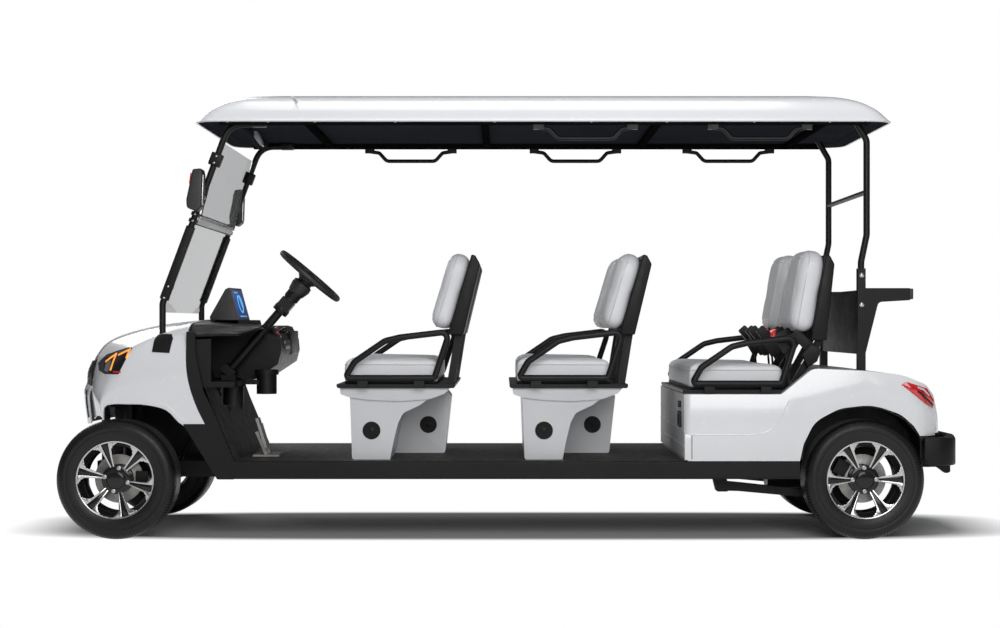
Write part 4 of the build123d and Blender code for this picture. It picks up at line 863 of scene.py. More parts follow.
    @classmethod
    def mirrored(cls, piece: Piece) -> Piece:
        """Join a piece with its mirror image across the cart."""
        other = cls.copied(piece.name + "_other", piece, Matrix.Diagonal((1, -1, 1, 1)))
        return cls.joined(piece.name, [piece, other])


def finished(piece: Piece, finish: AnyFinish, slot: Slot, body: str = "chassis",
             replaces: Iterable[str] = (), angle: float = 40) -> Piece:
    """Shade a piece, give it its finish and hang it on its body.

    Args:
        piece: The finished mesh.
        finish: Its finish.
        slot: The record's slot of that finish; not used.
        body: The body that it moves with.
        replaces: The CAD nodes that it stands for.
        angle: Edges sharper than this stay sharp.

    Returns:
        The same piece.
    """
    Bench.hold(piece)
    bpy.ops.object.shade_smooth_by_angle(angle=math.radians(angle))
    piece.data.materials.clear()
    piece.data.materials.append(material(finish))
    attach(piece, body)
    nodes = list(replaces)
    if nodes:
        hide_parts(*nodes)
    LOG.info("%s: %d faces on %s", piece.name, len(piece.data.polygons), body)
    return piece


# ---------------- places
def middle_station(node: str) -> float:
    """The middle of a node along the cart, in millimetres."""
    low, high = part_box(node)
    return (low.x + high.x) / 2 / MM


FRONT_AXLE = middle_station("rim_front_left")
REAR_AXLE = middle_station("rim_rear_left")


def front(run: Run) -> list[tuple[float, ...]]:
    """Points given behind the front axle, placed along the cart."""
    return [(FRONT_AXLE + point[0], *point[1:]) for point in run]


def rear(run: Run) -> list[tuple[float, ...]]:
    """Points given behind the rear axle, placed along the cart."""
    return [(REAR_AXLE + point[0], *point[1:]) for point in run]


@dataclass(frozen=True)
class Cut:
    """A plate cut to a side outline, given behind the front axle with a radius at each corner.

    Lengths are millimetres; steps are the pieces of a corner and segments those of a bevel.
    """

    outline: Run
    steps: int
    bevel: float
    segments: int = 2

    def plate(self, name: str, y0: float, y1: float) -> Piece:
        """The plate between two places across the cart."""
        outline = rounded(front(self.outline), self.steps)
        return Bench.side_plate(name, outline, y0, y1, self.bevel, self.segments)

    def around(self, name: str, middle: float, half: float) -> Piece:
        """The plate by its middle and half its width across the cart."""
        return self.plate(name, middle - half, middle + half)


# ---------------- wheels
@dataclass
class RoadWheel:
    """A tyre with a ribbed shoulder on a cast rim with six pairs of machined spokes.

    Profiles run out of the cart from the wheel's middle plane. Outlines on the spokes are (radius, degrees).
    """

    phases: tuple[tuple[End, float], ...] = ((End.FRONT, -13.5), (End.REAR, 1))
    radius: float = 254
    sidewall: Run = (
        (153, 80), (157, 88), (165, 93), (174, 96.5), (188, 99.4), (200, 100), (204, 100), (206, 97.6),
        (211, 97.4), (213, 98.4), (222, 97), (231, 93.8), (240, 88), (247, 79), (251, 69), (253, 58),
    )
    groove_middles: Values = (48, 16)
    groove_edge: Run = ((4.5, 0.4), (3, 7), (-3, 7), (-4.5, 0.4))  # along the axle, depth
    tyre_inside: Run = (
        (163, -80), (190, -90), (225, -84), (238, -60), (238, 60), (225, 84), (190, 90), (163, 80),
    )
    tyre_steps: int = 480
    sipe_every: int = 4
    sipe_depth: float = 3.5
    sipe_radius: float = 214
    sipe_along: Values = (56, 97.5)
    sipe_facing: float = 0.6
    pairs: int = 6
    lip_along: float = 93
    seat_radius: float = 147
    dish_depth: float = 24
    dish_power: float = 1.4
    dish_set_in: float = 3
    hub_radius: float = 52
    spoke: Run = (
        (56, 3.4), (100, 4.6), (154, 5.6), (159.5, 5.6), (159.5, 10), (159.5, 14.5), (159.5, 19.4),
        (153.5, 18.6), (152, 16.2), (147, 15.6), (145, 12.8), (137, 11.6), (132, 9.4), (100, 8.6),
        (66, 8.8), (56, 9.2),
    )
    web: Run = ((50, -5), (50, 5), (100, 5.4), (155, 6.4), (155, 0), (155, -6.4), (100, -5.4))
    hub_core: Run = ((0, -8), (60, -8), (60, 8), (48, 12))
    hub_face: Run = (  # radius, height over the spokes' face
        (46, -22), (62, -12), (62, -3), (58, 0), (41, 0), (40, -3), (38, -3), (38, 4), (35, 7), (24, 9),
        (0, 9.5),
    )
    barrel_profile: Run = (
        (164, 92), (158, 88), (154, 81), (151, 70), (145, 58), (138, 40), (138, -40), (147, -70), (153, -93),
        (164.5, -93), (164.5, -88), (155, -85), (153, -70), (144, -42), (144, 42), (151, 60), (156, 72),
        (159, 84), (164.5, 87),
    )
    lip_profile: Run = ((159, 89), (159, 92.2), (160, 93), (164.2, 93), (165, 92.2), (165, 89))
    nut_circle: float = 50
    nut_count: int = 4
    collar_profile: Run = ((0, -2), (9, -2), (9, 1.5), (6.5, 3), (0, 3))
    nut_profile: Run = ((0, 2), (6.5, 2), (6.5, 9), (4, 11), (0, 11))
    disc_profile: Run = (
        (62, -7.5), (103, -7.5), (104, -6.5), (104, -1), (103, 0), (70, 0), (66, 1.5), (62, 1.5),
    )

    def build(self) -> None:
        """Make the four wheels from one master of each part."""
        masters = {
            "tread": (self.tyre(), TYRE_RUBBER, Slot.TYRE),
            "barrel": (self.spun("barrel", self.barrel_profile, 120), GLOSS_BLACK, Slot.RIM),
            "spoke_faces": (self.spoke_faces(), MACHINED, Slot.RIM),
            "spoke_bodies": (self.spoke_bodies(), GLOSS_BLACK, Slot.RIM),
            "lip": (self.spun("lip", self.lip_profile, 144), MACHINED, Slot.RIM),
            "nuts": (self.nuts(), BARE_ALLOY, Slot.ALLOY),
            "disc": (self.spun("disc", self.disc_profile, 96), CAST_STEEL, Slot.ALLOY),
        }
        for end, phase in self.phases:
            for side in Side:
                self.place(masters, f"{end.value}_{side.word}", side, phase)
        for master, _, _ in masters.values():
            bpy.data.objects.remove(master)

    def place(self, masters: dict[str, tuple[Piece, AnyFinish, Slot]], corner: str, side: Side,
              phase: float) -> None:
        """Copy every part to one corner of the cart.

        Args:
            masters: Part name to (mesh, finish, slot).
            corner: The corner's name, as front_left.
            side: The side of the cart.
            phase: How far the wheel is turned, in degrees.
        """
        low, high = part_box(f"tyre_{corner}")
        turn = Matrix.Rotation(math.radians(-phase), 4, "Y")
        face = Matrix.Diagonal((1, -side.value, 1, 1))
        matrix = Matrix.Translation((low + high) / 2) @ face @ turn
        replaced = {"tread": [f"tyre_{corner}"], "barrel": [f"rim_{corner}"]}
        for name, (master, finish, slot) in masters.items():
            piece = Bench.copied(f"{name}_{corner}", master, matrix)
            finished(piece, finish, slot, f"wheel_{corner}", replaced.get(name, []))

    def spun(self, name: str, profile: Run, steps: int) -> Piece:
        """Turn a profile about the axle, with along towards -Y."""
        return Bench.turned(name, profile, (0, 0, 0), (0, -1, 0), steps)

    def tyre(self) -> Piece:
        """The tyre: rounded sidewalls, three ribs of tread and fine grooves over its shoulders.

        Returns:
            The tyre.
        """
        grooves = [(self.radius - depth, middle + offset)
                   for middle in self.groove_middles for offset, depth in self.groove_edge]
        outer = [*self.sidewall, *grooves]
        inner = [(radius, -along) for radius, along in reversed(outer)]
        piece = self.spun("tyre", [*outer, *inner, *self.tyre_inside], self.tyre_steps)
        Bench.open(piece)
        mesh = bmesh.from_edit_mesh(piece.data)
        for face in mesh.faces:
            face.select_set(self.in_sipe(face.calc_center_median(), face.normal))
        mesh.select_flush_mode()
        bmesh.update_edit_mesh(piece.data)
        bpy.ops.mesh.extrude_region_shrink_fatten(
            TRANSFORM_OT_shrink_fatten={"value": -self.sipe_depth * MM, "use_even_offset": True}
        )
        Bench.close()
        return piece

    def in_sipe(self, centre: Vector, normal: Vector) -> bool:
        """Tell whether a face of the tyre lies in a shoulder groove.

        Args:
            centre: The face's centre.
            normal: Its normal.

        Returns:
            Whether it does.
        """
        index = int((math.atan2(centre.z, centre.x) % math.tau) / (math.tau / self.tyre_steps))
        low, high = self.sipe_along
        reach = math.hypot(centre.x, centre.z) / MM
        on_shoulder = reach > self.sipe_radius and low < abs(centre.y) / MM < high
        outward = normal.x * centre.x + normal.z * centre.z > 0 or abs(normal.y) > self.sipe_facing
        return on_shoulder and outward and index % self.sipe_every == 0

    def dish(self, radius: float) -> float:
        """How far out the spokes' face is at a radius."""
        share = min(max((radius - self.hub_radius) / (self.seat_radius - self.hub_radius), 0), 1)
        return self.lip_along - self.dish_set_in - self.dish_depth * (1 - share) ** self.dish_power

    def spoke_plate(self, name: str, outline: Run, sink: float, thickness: float, bevel: float) -> Piece:
        """A plate that follows the spokes' face.

        Args:
            name: Name of the piece.
            outline: Its outline.
            sink: How far it lies under the face.
            thickness: Its thickness.
            bevel: Width of the bevel on its edges.

        Returns:
            The plate.
        """
        places = []
        for radius, degrees in outline:
            turn = math.radians(degrees)
            along = self.dish(radius) - sink
            places.append(Vector((radius * math.cos(turn), -along, radius * math.sin(turn))) * MM)
        return Bench.plate(name, places, (0, thickness * MM, 0), bevel * MM)

    def pair(self, name: str, sink: float, thickness: float, bevel: float) -> list[Piece]:
        """Both spokes of one pair as plates: name, depth under the face, thickness and bevel."""
        outlines = [[(radius, degrees * sign) for radius, degrees in self.spoke] for sign in (1, -1)]
        return [self.spoke_plate(name, outline, sink, thickness, bevel) for outline in outlines]

    def repeated(self, name: str, parts: list[Piece]) -> Piece:
        """Copy the parts of one pair of spokes round the wheel and join them.

        Args:
            name: Name of the whole.
            parts: The parts of the first pair.

        Returns:
            The whole.
        """
        everything = list(parts)
        for index in range(1, self.pairs):
            turn = Matrix.Rotation(math.tau * index / self.pairs, 4, "Y")
            everything += [Bench.copied(f"{name}_{index}", part, turn) for part in parts]
        return Bench.joined(name, everything)

    def spoke_faces(self) -> Piece:
        """The machined faces of the spokes and of their feet."""
        return self.repeated("spoke_faces", self.pair("spoke_face", 0, 2, 0.7))

    def spoke_bodies(self) -> Piece:
        """The black sides of the spokes, the sunk webs between them and the hub.

        Returns:
            Them all as one piece.
        """
        web = self.spoke_plate("spoke_web", self.web, 6, 9, 1)
        bodies = self.repeated("spoke_bodies", [*self.pair("spoke_body", 1.6, 14, 1), web])
        face = self.dish(self.hub_radius)
        hub = [*self.hub_core, *((radius, face + height) for radius, height in self.hub_face)]
        return Bench.joined("spoke_bodies", [bodies, self.spun("hub", hub, 64)])

    def nuts(self) -> Piece:
        """The wheel nuts in their seats.

        Returns:
            Them all as one piece.
        """
        face = self.dish(self.hub_radius)
        out = self.nut_circle
        turns = [math.tau * index / self.nut_count for index in range(self.nut_count)]
        centres = [(out * math.cos(turn), -face, out * math.sin(turn)) for turn in turns]
        collars = Bench.heads("nut_collar", self.collar_profile, centres, (0, -1, 0), 24)
        return Bench.joined("nuts", [collars, Bench.heads("nut", self.nut_profile, centres, (0, -1, 0), 6)])


# ---------------- seats
@dataclass(frozen=True)
class BackPlace:
    """Where a row's backs stand, and how much deeper and taller they are than the plain back."""

    foot_x: float
    foot_z: float
    tilt: float
    deeper: float = 1
    taller: float = 1


@dataclass(frozen=True)
class Swelling:
    """How a pad is blown up as cloth, and how far a point of it may move."""

    voxel: float = 11
    pressure: float = 4
    quality: int = 5
    mass: float = 0.3
    frames: int = 20
    travel: float = 9

    def blow(self, piece: Piece) -> None:
        """Blow a remeshed pad up and cap the travel of its points.

        Args:
            piece: The pad.
        """
        start = [vertex.co.copy() for vertex in piece.data.vertices]
        cloth = piece.modifiers.new("cloth", "CLOTH")
        cloth.settings.quality = self.quality
        cloth.settings.mass = self.mass
        cloth.settings.use_pressure = True
        cloth.settings.uniform_pressure_force = self.pressure
        cloth.settings.effector_weights.gravity = 0
        for step in range(1, self.frames + 1):
            bpy.context.scene.frame_set(step)
        Bench.hold(piece)
        bpy.ops.object.modifier_apply(modifier=cloth.name)
        bpy.context.scene.frame_set(1)
        for vertex, place in zip(piece.data.vertices, start):
            travel = vertex.co - place
            if travel.length > self.travel * MM:
                vertex.co = place + travel.normalized() * (self.travel * MM)

    def fill(self, piece: Piece) -> None:
        """Fill a pad: remesh it, blow it up and smooth it.

        Args:
            piece: The pad's starting shape.
        """
        Bench.modify(piece, "REMESH", mode="VOXEL", voxel_size=self.voxel * MM)
        self.blow(piece)
        Bench.modify(piece, "SMOOTH", factor=0.5, iterations=3)
        Bench.modify(piece, "SUBSURF", levels=1, render_levels=1)


@dataclass
class Seats:
    """The benches: swollen cushions and backs with their seams, bases, speakers and covers."""

    row_front: Values = (948, 1684, 2420)
    drops: Values = (0, 0, 24)
    bench_half: float = 510
    cushion_length: float = 420
    cushion_bottom: float = 656.3
    cushion_height: float = 112
    cushion_end: float = 26
    front_margin: float = 34
    margin: float = 40
    cross_seams: Values = (90, 300)
    cushion_top: float = 0.6
    lowest: float = 0.5
    bead_drop: float = 27
    bead_step: float = 30
    board_in: float = 12
    back_inner: float = 100
    back_outer: float = 480
    back_length: float = 360
    back_thickness: float = 86
    back_depth: float = 84
    back_foot_radius: float = 56
    back_head_radius: float = 96
    back_end: float = 32
    back_margins: Values = (46, 50)
    back_face: float = 0.4
    bead_radii: Values = (60, 66)
    bead_depth: float = 24
    backs: tuple[BackPlace, ...] = (
        BackPlace(369, 895, 16.6), BackPlace(369, 895, 16.6), BackPlace(441, 875, 10, 1.16, 1.066),
    )
    swelling: Swelling = Swelling()
    shrink: float = 5
    pad_angle: float = 80
    welt_radius: float = 2.6
    welt_lift: float = 0.3
    groove_half: float = 7
    groove_depth: float = 3.2
    far_off: float = 99
    base_bevel: float = 9
    cover_bevel: float = 6
    speakers: Run = ((127, 505, 458), (353, 92, 461))
    speaker_cap: Run = ((0, 1.6), (9, 1.6), (10, 0.8))
    speaker_ring: Run = ((0, 0.6), (0.8, 1.8), (3.2, 1.8), (4, 0.6))
    speaker_rings: Values = (12, 17.4, 22.8, 28.2)
    speaker_rim: Run = ((34, 0.8), (35, 3), (37, 3), (38, 2), (38, -2), (0, -2))

    def build(self) -> None:
        """Make every row."""
        cushion = self.cushion()
        back = self.back()
        for row in range(1, len(self.row_front) + 1):
            self.place_cushion(cushion, row)
            self.place_backs(back, row)
        for master in (cushion, back):
            bpy.data.objects.remove(master)
        self.bases()
        self.covers()

    @property
    def back_half(self) -> float:
        """Half a back's width."""
        return (self.back_outer - self.back_inner) / 2

    def groove(self, piece: Piece, offset: Callable[[Vector], float]) -> None:
        """Press a sewn channel into a pad.

        Args:
            piece: The pad.
            offset: A point's distance from the channel in millimetres, or a large number off it.
        """
        piece.data.update()
        normals = [vertex.normal.copy() for vertex in piece.data.vertices]
        for vertex, normal in zip(piece.data.vertices, normals):
            away = abs(offset(vertex.co / MM))
            if away < self.groove_half:
                share = 0.5 + 0.5 * math.cos(math.pi * away / self.groove_half)
                vertex.co -= normal * (share * self.groove_depth * MM)

    def welt(self, name: str, pad: Piece, route: Run, body: str) -> None:
        """A sewn bead laid on a pad's surface.

        Args:
            name: Name of the bead.
            pad: The pad.
            route: Its closed route near the surface, in millimetres.
            body: The body that it moves with.
        """
        places = []
        for point in route:
            _, place, normal, _ = pad.closest_point_on_mesh(Vector(point) * MM)
            places.append((place + normal * (self.welt_lift * MM)) / MM)
        bead = Bench.pipe(name, places, self.welt_radius, closed=True, sides=8)
        finished(bead, VINYL_WELT, Slot.VINYL, body)

    def cushion(self) -> Piece:
        """The bench cushion at the origin: x rearwards from its front edge, z up from its underside.

        Returns:
            The cushion.
        """
        small = self.shrink
        length, half, top = self.cushion_length - small, self.bench_half - small, self.cushion_height - small
        outline = rounded([(small, small, 8), (small, top, 34), (length, top - 8, 26), (length, small, 8)])
        pad = Bench.side_plate("cushion_master", outline, -half, half, self.cushion_end, 4)
        self.swelling.fill(pad)
        for vertex in pad.data.vertices:
            vertex.co.z = max(vertex.co.z, self.lowest * MM)
        panel_top = self.cushion_height * self.cushion_top
        start, end, side = self.front_margin, length - self.margin, half - self.margin

        def panel_edge(point: Vector) -> float:
            """A point's distance from the seam round the seat's panel."""
            inside = min(point.x - start, end - point.x, side - abs(point.y))
            return inside if point.z > panel_top else self.far_off

        def cross_seam(point: Vector) -> float:
            """A point's distance from the nearest seam across the panel."""
            inside = start < point.x < end and point.z > panel_top
            return min(abs(abs(point.y) - seam) for seam in self.cross_seams) if inside else self.far_off

        self.groove(pad, panel_edge)
        self.groove(pad, cross_seam)
        return pad

    def place_cushion(self, master: Piece, row: int) -> None:
        """Copy the cushion to a row, with its bead and its base board.

        Args:
            master: The cushion at the origin.
            row: The row, from 1.
        """
        lid = f"seat_lid_{row}"
        place = (FRONT_AXLE + self.row_front[row - 1], 0, self.cushion_bottom - self.drops[row - 1])
        pad = Bench.copied(f"cushion_{row}", master, Matrix.Translation(Vector(place) * MM))
        finished(pad, VINYL, Slot.VINYL, lid, [f"seat_cushion_{row}"], self.pad_angle)
        low, high = (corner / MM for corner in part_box(f"seat_cushion_{row}"))
        half, inset = self.bench_half, self.board_in
        ring = rounded_box((low.x, -half), (high.x, half), 30, 6)
        route: list[Point] = []
        for start, end in zip(ring, ring[1:] + ring[:1]):
            pieces = max(int(math.dist(start, end) / self.bead_step), 1)
            places = [Vector(start).lerp(Vector(end), share / pieces) for share in range(pieces)]
            route += [(*point, high.z - self.bead_drop) for point in places]
        self.welt(f"cushion_bead_{row}", pad, route, lid)
        board = Bench.block(f"cushion_board_{row}", (low.x + inset, inset - half, low.z),
                            (high.x - inset, half - inset, low.z + inset))
        finished(board, BLACK_PLASTIC, Slot.PLASTIC, lid)

    def back(self) -> Piece:
        """One back at the origin: x rearwards from its face, y across, z up from its foot.

        Returns:
            The back.
        """
        half, foot, head = self.back_half - self.shrink, self.back_foot_radius, self.back_head_radius
        top = self.back_length - self.shrink
        outline = rounded([(-half, self.shrink, foot), (half, self.shrink, foot), (half, top, head),
                           (-half, top, head)], 7)
        places = [(self.shrink * MM, y * MM, z * MM) for y, z in outline]
        push = ((self.back_depth - self.shrink) * MM, 0, 0)
        pad = Bench.plate("back_master", places, push, self.back_end * MM, 5)
        self.swelling.fill(pad)
        for vertex in pad.data.vertices:
            vertex.co.x = min(vertex.co.x, self.back_thickness * MM)
        side_margin, end_margin = self.back_margins
        side, end = half - side_margin, self.back_length - end_margin
        face = self.back_thickness * self.back_face

        def panel_edge(point: Vector) -> float:
            """A point's distance from the seam round the back's panel."""
            inside = min(side - abs(point.y), point.z - end_margin, end - point.z)
            return inside if point.x < face else self.far_off

        self.groove(pad, panel_edge)
        return pad

    def place_backs(self, master: Piece, row: int) -> None:
        """Copy the back to both places of a row.

        Args:
            master: The back at the origin.
            row: The row, from 1.
        """
        place, half = self.backs[row - 1], self.back_half
        lean = Matrix.Rotation(math.radians(place.tilt), 4, "Y")
        grow = Matrix.Diagonal((place.deeper, 1, place.taller, 1))
        top, (foot_radius, head_radius) = self.back_length, self.bead_radii
        ring = rounded([(-half, 0, foot_radius), (half, 0, foot_radius), (half, top, head_radius),
                        (-half, top, head_radius)], 8)
        for side in Side:
            middle = side.value * (self.back_inner + half)
            foot = Vector((FRONT_AXLE + self.row_front[row - 1] + place.foot_x, middle, place.foot_z)) * MM
            matrix = Matrix.Translation(foot) @ lean @ grow
            pad = Bench.copied(f"back_{row}_{side.word}", master, matrix)
            nodes = ["seat_backs"] if row == 1 and side is Side.LEFT else []
            finished(pad, VINYL, Slot.VINYL, "chassis", nodes, self.pad_angle)
            route = [matrix @ (Vector((self.bead_depth, y, z)) * MM) / MM for y, z in ring]
            self.welt(f"back_bead_{row}_{side.word}", pad, route, "chassis")

    def bases(self) -> None:
        """The moulded bases with soft edges, and the round speaker grilles in them."""
        base = Bench.from_node("bench_bases", "seat_pedestals")
        Bench.bevel(base, self.base_bevel * MM, 4, 25)
        finished(base, BASE_WHITE, Slot.BASE, "chassis", ["seat_pedestals"])
        profile = [*self.speaker_cap]
        for start in self.speaker_rings:
            profile += [(start + out, height) for out, height in self.speaker_ring]
        profile += self.speaker_rim
        for row, front_edge in enumerate(self.row_front[:2], start=1):
            for x, y, z in self.speakers:
                for side in Side:
                    name = f"speaker_{row}_{int(x)}_{side.word}"
                    centre = (FRONT_AXLE + front_edge + x, side.value * y, z)
                    grille = Bench.turned(name, profile, centre, (0, side.value, 0))
                    finished(grille, BLACK_PLASTIC, Slot.PLASTIC)

    def covers(self) -> None:
        """The covers behind the backs, with soft edges."""
        covers = Bench.from_node("back_covers", "seat_shells")
        Bench.bevel(covers, self.cover_bevel * MM, 3)
        finished(covers, BLACK_PLASTIC, Slot.PLASTIC, "chassis", ["seat_shells"])


# ---------------- front body
@dataclass
class FrontBody:
    """The cowl with its fenders and hood, the nose, and the lamps let into the fenders."""

    wall: float = 4
    hood_wall: float = 4.6
    nose_wall: float = 5
    shoulder_foot: Run = ((-140, 500), (-150, 640))
    shoulder: Run = ((-125, 760), (-112, 785), (-75, 826), (0, 858), (120, 890), (300, 918))
    crown: Run = ((-206, 744), (-192, 771), (-147, 826), (-56, 869), (104, 907), (300, 930))
    nose_half: float = 350
    nose_quarter: float = 250
    quarter_share: float = 0.52
    fender_rows: tuple[tuple[float, Run], ...] = (
        (480, ((-100, 520), (-112, 630), (-50, 745), (-30, 772), (10, 808), (75, 842), (165, 878),
               (300, 908))),
        (560, ((-65, 520), (-76, 600), (-12, 715), (10, 745), (45, 780), (95, 812), (180, 845), (300, 868))),
        (590, ((-52, 508), (-62, 590), (0, 660), (20, 682), (55, 706), (110, 732), (190, 764), (298, 800))),
    )
    fender_side: float = 594
    arch_row: Run = (
        (-51, 506), (-48, 560), (-14, 576), (50, 577), (130, 574), (215, 552), (286, 490), (378, 490),
    )
    arch_sides: Values = (592.5, 588, 570)
    rear_edge: Run = ((300, 722), (314, 645), (343, 562))
    arch_crease: Run = ((-50, 575), (-14, 592), (50, 594), (130, 591), (215, 570), (292, 507), (372, 506))
    crease_radius: float = 2.6
    grille_side: Run = ((-152, 642), (-150, 703), (-130, 755))
    grille_crown: Run = ((-229, 662), (-224, 703), (-206, 744))
    grille_bars: Values = (676, 694, 712, 730)
    bar_steps: range = range(-12, 13)
    bar_step: float = 26
    bar_radius: float = 4
    bumper_side: Run = ((-152, 480), (-164, 600), (-152, 642))
    bumper_crown: Run = ((-226, 470), (-245, 600), (-229, 662))
    slot_side: float = 318
    slot_heights: Values = (505, 520, 535, 550, 565, 580, 595, 610, 625)
    slot_radius: float = 7
    ray_start: float = -400
    lens: Run = ((-120, 742), (-72, 780), (40, 812), (64, 809), (12, 699), (-60, 698), (-104, 712))
    bowl: Run = ((-67, 776), (61, 806), (10, 702), (-28, 704), (-72, 742))
    corner: Run = ((-64, 738), (-38, 756), (-34, 716), (-44, 706), (-62, 708))
    wedge: Run = ((-109, 742), (-74, 752), (-62, 704), (-104, 712))
    side_mark: Run = ((-10, 711), (24, 711), (21, 704), (-12, 704))
    ambers: Sequence[Run] = (
        ((-68, 752), (-13, 786), (-12, 779), (-66, 745)), ((-16, 786), (-9, 785), (-24, 712), (-31, 713)),
        ((1, 781), (58, 805), (57, 798), (1, 774)), ((54, 803), (60, 804), (46, 764), (40, 766)),
    )
    amber_lift: float = 4
    amber_wall: float = 1.8
    strut_foot: Run = ((154, 793), (228, 789), (240, 850), (232, 866), (172, 864), (160, 842))

    def build(self) -> None:
        """Make the front body."""
        cowl = self.fender()
        for part in (*self.lamp(cowl), self.arch_bead(cowl)):
            Bench.mirrored(part)
        Bench.walled(cowl, self.wall)
        finished(Bench.mirrored(cowl), WHITE_PAINT, Slot.BODY, "chassis", ["front_cowl"])
        self.hood()
        self.nose()

    def row(self, y: float, run: Run) -> list[Point]:
        """A run of (station, height) at one place across the cart."""
        return [(FRONT_AXLE + x, y, z) for x, z in run]

    def fender(self) -> Piece:
        """The left fender as one sheet, from the hood's seam to the turned-in edge of the wheel arch.

        Returns:
            The sheet.
        """
        rows = [self.row(-self.nose_half, (*self.shoulder_foot, *self.shoulder))]
        rows += [self.row(-y, run) for y, run in self.fender_rows]
        top = self.fender_rows[-1][1]
        for number, corner in enumerate(self.rear_edge, start=1):
            run = self.blend_run(top[:-1], self.arch_row, number / (len(self.rear_edge) + 1))
            rows.append(self.row(-self.fender_side, (*run, corner)))
        rows += [self.row(-y, self.arch_row) for y in self.arch_sides]
        return Bench.sheet("cowl_fenders", rows, (0.5, -1, 0.5))

    def arch_bead(self, cowl: Piece) -> Piece:
        """The raised crease a little above the wheel arch's edge.

        Args:
            cowl: The fender's sheet.

        Returns:
            The bead.
        """
        starts = [(FRONT_AXLE + x, -700, z) for x, z in smooth_run(self.arch_crease, 5)]
        bead = Bench.pipe("arch_crease", Bench.traced(cowl, starts, (0, 1, 0)), self.crease_radius, sides=8)
        return finished(bead, WHITE_PAINT, Slot.BODY)

    def lamp(self, cowl: Piece) -> list[Piece]:
        """The lamp's dark bowl, reflectors, amber bars and red mark, and the plate at the strut's foot.

        Args:
            cowl: The fender's sheet.

        Returns:
            The pieces of the left side.
        """
        pieces = []
        for name, outline, lift, wall, finish, slot in (
            ("lamp_housings", self.lens, 0.4, 2, GLOSS_BLACK, Slot.LAMP),
            ("lamp_reflectors", self.bowl, 2.6, 1.2, BLACK_PLASTIC, Slot.LAMP),
            ("lamp_corner_reflectors", self.corner, 4, 1.6, MACHINED, Slot.LAMP),
            ("lamp_corner_pieces", self.wedge, 2.8, 2, GLOSS_BLACK, Slot.LAMP),
            ("lamp_side_marks", self.side_mark, 4, 1.6, RED_LENS, Slot.RED),
            ("strut_foot_plates", self.strut_foot, 0.4, 5, BLACK_COAT, Slot.STEEL),
        ):
            patch = Bench.patch(name, cowl, front(outline), lift, wall)
            nodes = ["headlights"] if name == "lamp_housings" else []
            pieces.append(finished(patch, finish, slot, "chassis", nodes))
        bars = [Bench.patch(f"amber_{index}", cowl, front(bar), self.amber_lift, self.amber_wall)
                for index, bar in enumerate(self.ambers)]
        return [*pieces, finished(Bench.joined("lamp_amber_bars", bars), AMBER_BAR, Slot.LAMP)]

    def hood(self) -> None:
        """The hood between the fenders."""
        edge = self.nose_half
        runs = ((-edge, self.shoulder), (0, self.crown), (edge, self.shoulder))
        rows = [self.row(y, run) for y, run in runs]
        hood = Bench.sheet("hood", rows, (0, 0, 1), across=10)
        Bench.walled(hood, self.hood_wall)
        finished(hood, WHITE_PAINT, Slot.BODY)

    def nose(self) -> None:
        """The grille with its bars, and the white bumper under it with a dark slot at each end."""
        for part, side, crown, finish, slot, dress in (
            ("grille", self.grille_side, self.grille_crown, BLACK_PLASTIC, Slot.PLASTIC, self.bars),
            ("bumper", self.bumper_side, self.bumper_crown, WHITE_PAINT, Slot.BODY, self.slots),
        ):
            quarter = self.blend_run(side, crown, self.quarter_share)
            rows = [self.row(y, run) for y, run in (
                (-self.nose_half, side), (-self.nose_quarter, quarter), (0, crown),
                (self.nose_quarter, quarter), (self.nose_half, side))]
            panel = Bench.sheet(f"nose_{part}", rows, (-1, 0, 0), across=6)
            dress(panel)
            Bench.walled(panel, self.nose_wall)
            finished(panel, finish, slot, "chassis", [f"front_{part}"])

    @staticmethod
    def blend_run(first: Run, second: Run, share: float) -> list[Point]:
        """A run part of the way from one run to another."""
        return [(a + (c - a) * share, b + (d - b) * share) for (a, b), (c, d) in zip(first, second)]

    def lines(self, name: str, panel: Piece, runs: Sequence[Run], radius: float) -> Piece:
        """Bars laid on the nose, joined.

        Args:
            name: Name of the whole.
            panel: The sheet that they lie on.
            runs: The (y, z) places of each.
            radius: Their radius.

        Returns:
            The whole.
        """
        bars = []
        for run in runs:
            starts = [(FRONT_AXLE + self.ray_start, y, z) for y, z in run]
            bars.append(Bench.pipe(name, Bench.traced(panel, starts, (1, 0, 0)), radius, sides=8))
        return Bench.joined(name, bars)

    def bars(self, panel: Piece) -> None:
        """Raised bars across the grille."""
        runs = [[(step * self.bar_step, z) for step in self.bar_steps] for z in self.grille_bars]
        finished(self.lines("grille_bars", panel, runs, self.bar_radius), GLOSS_BLACK, Slot.PLASTIC)

    def slots(self, panel: Piece) -> None:
        """The dark upright slots near the bumper's ends."""
        runs = [[(side.value * self.slot_side, z) for z in self.slot_heights] for side in Side]
        finished(self.lines("bumper_slots", panel, runs, self.slot_radius), BLACK_PLASTIC, Slot.PLASTIC)


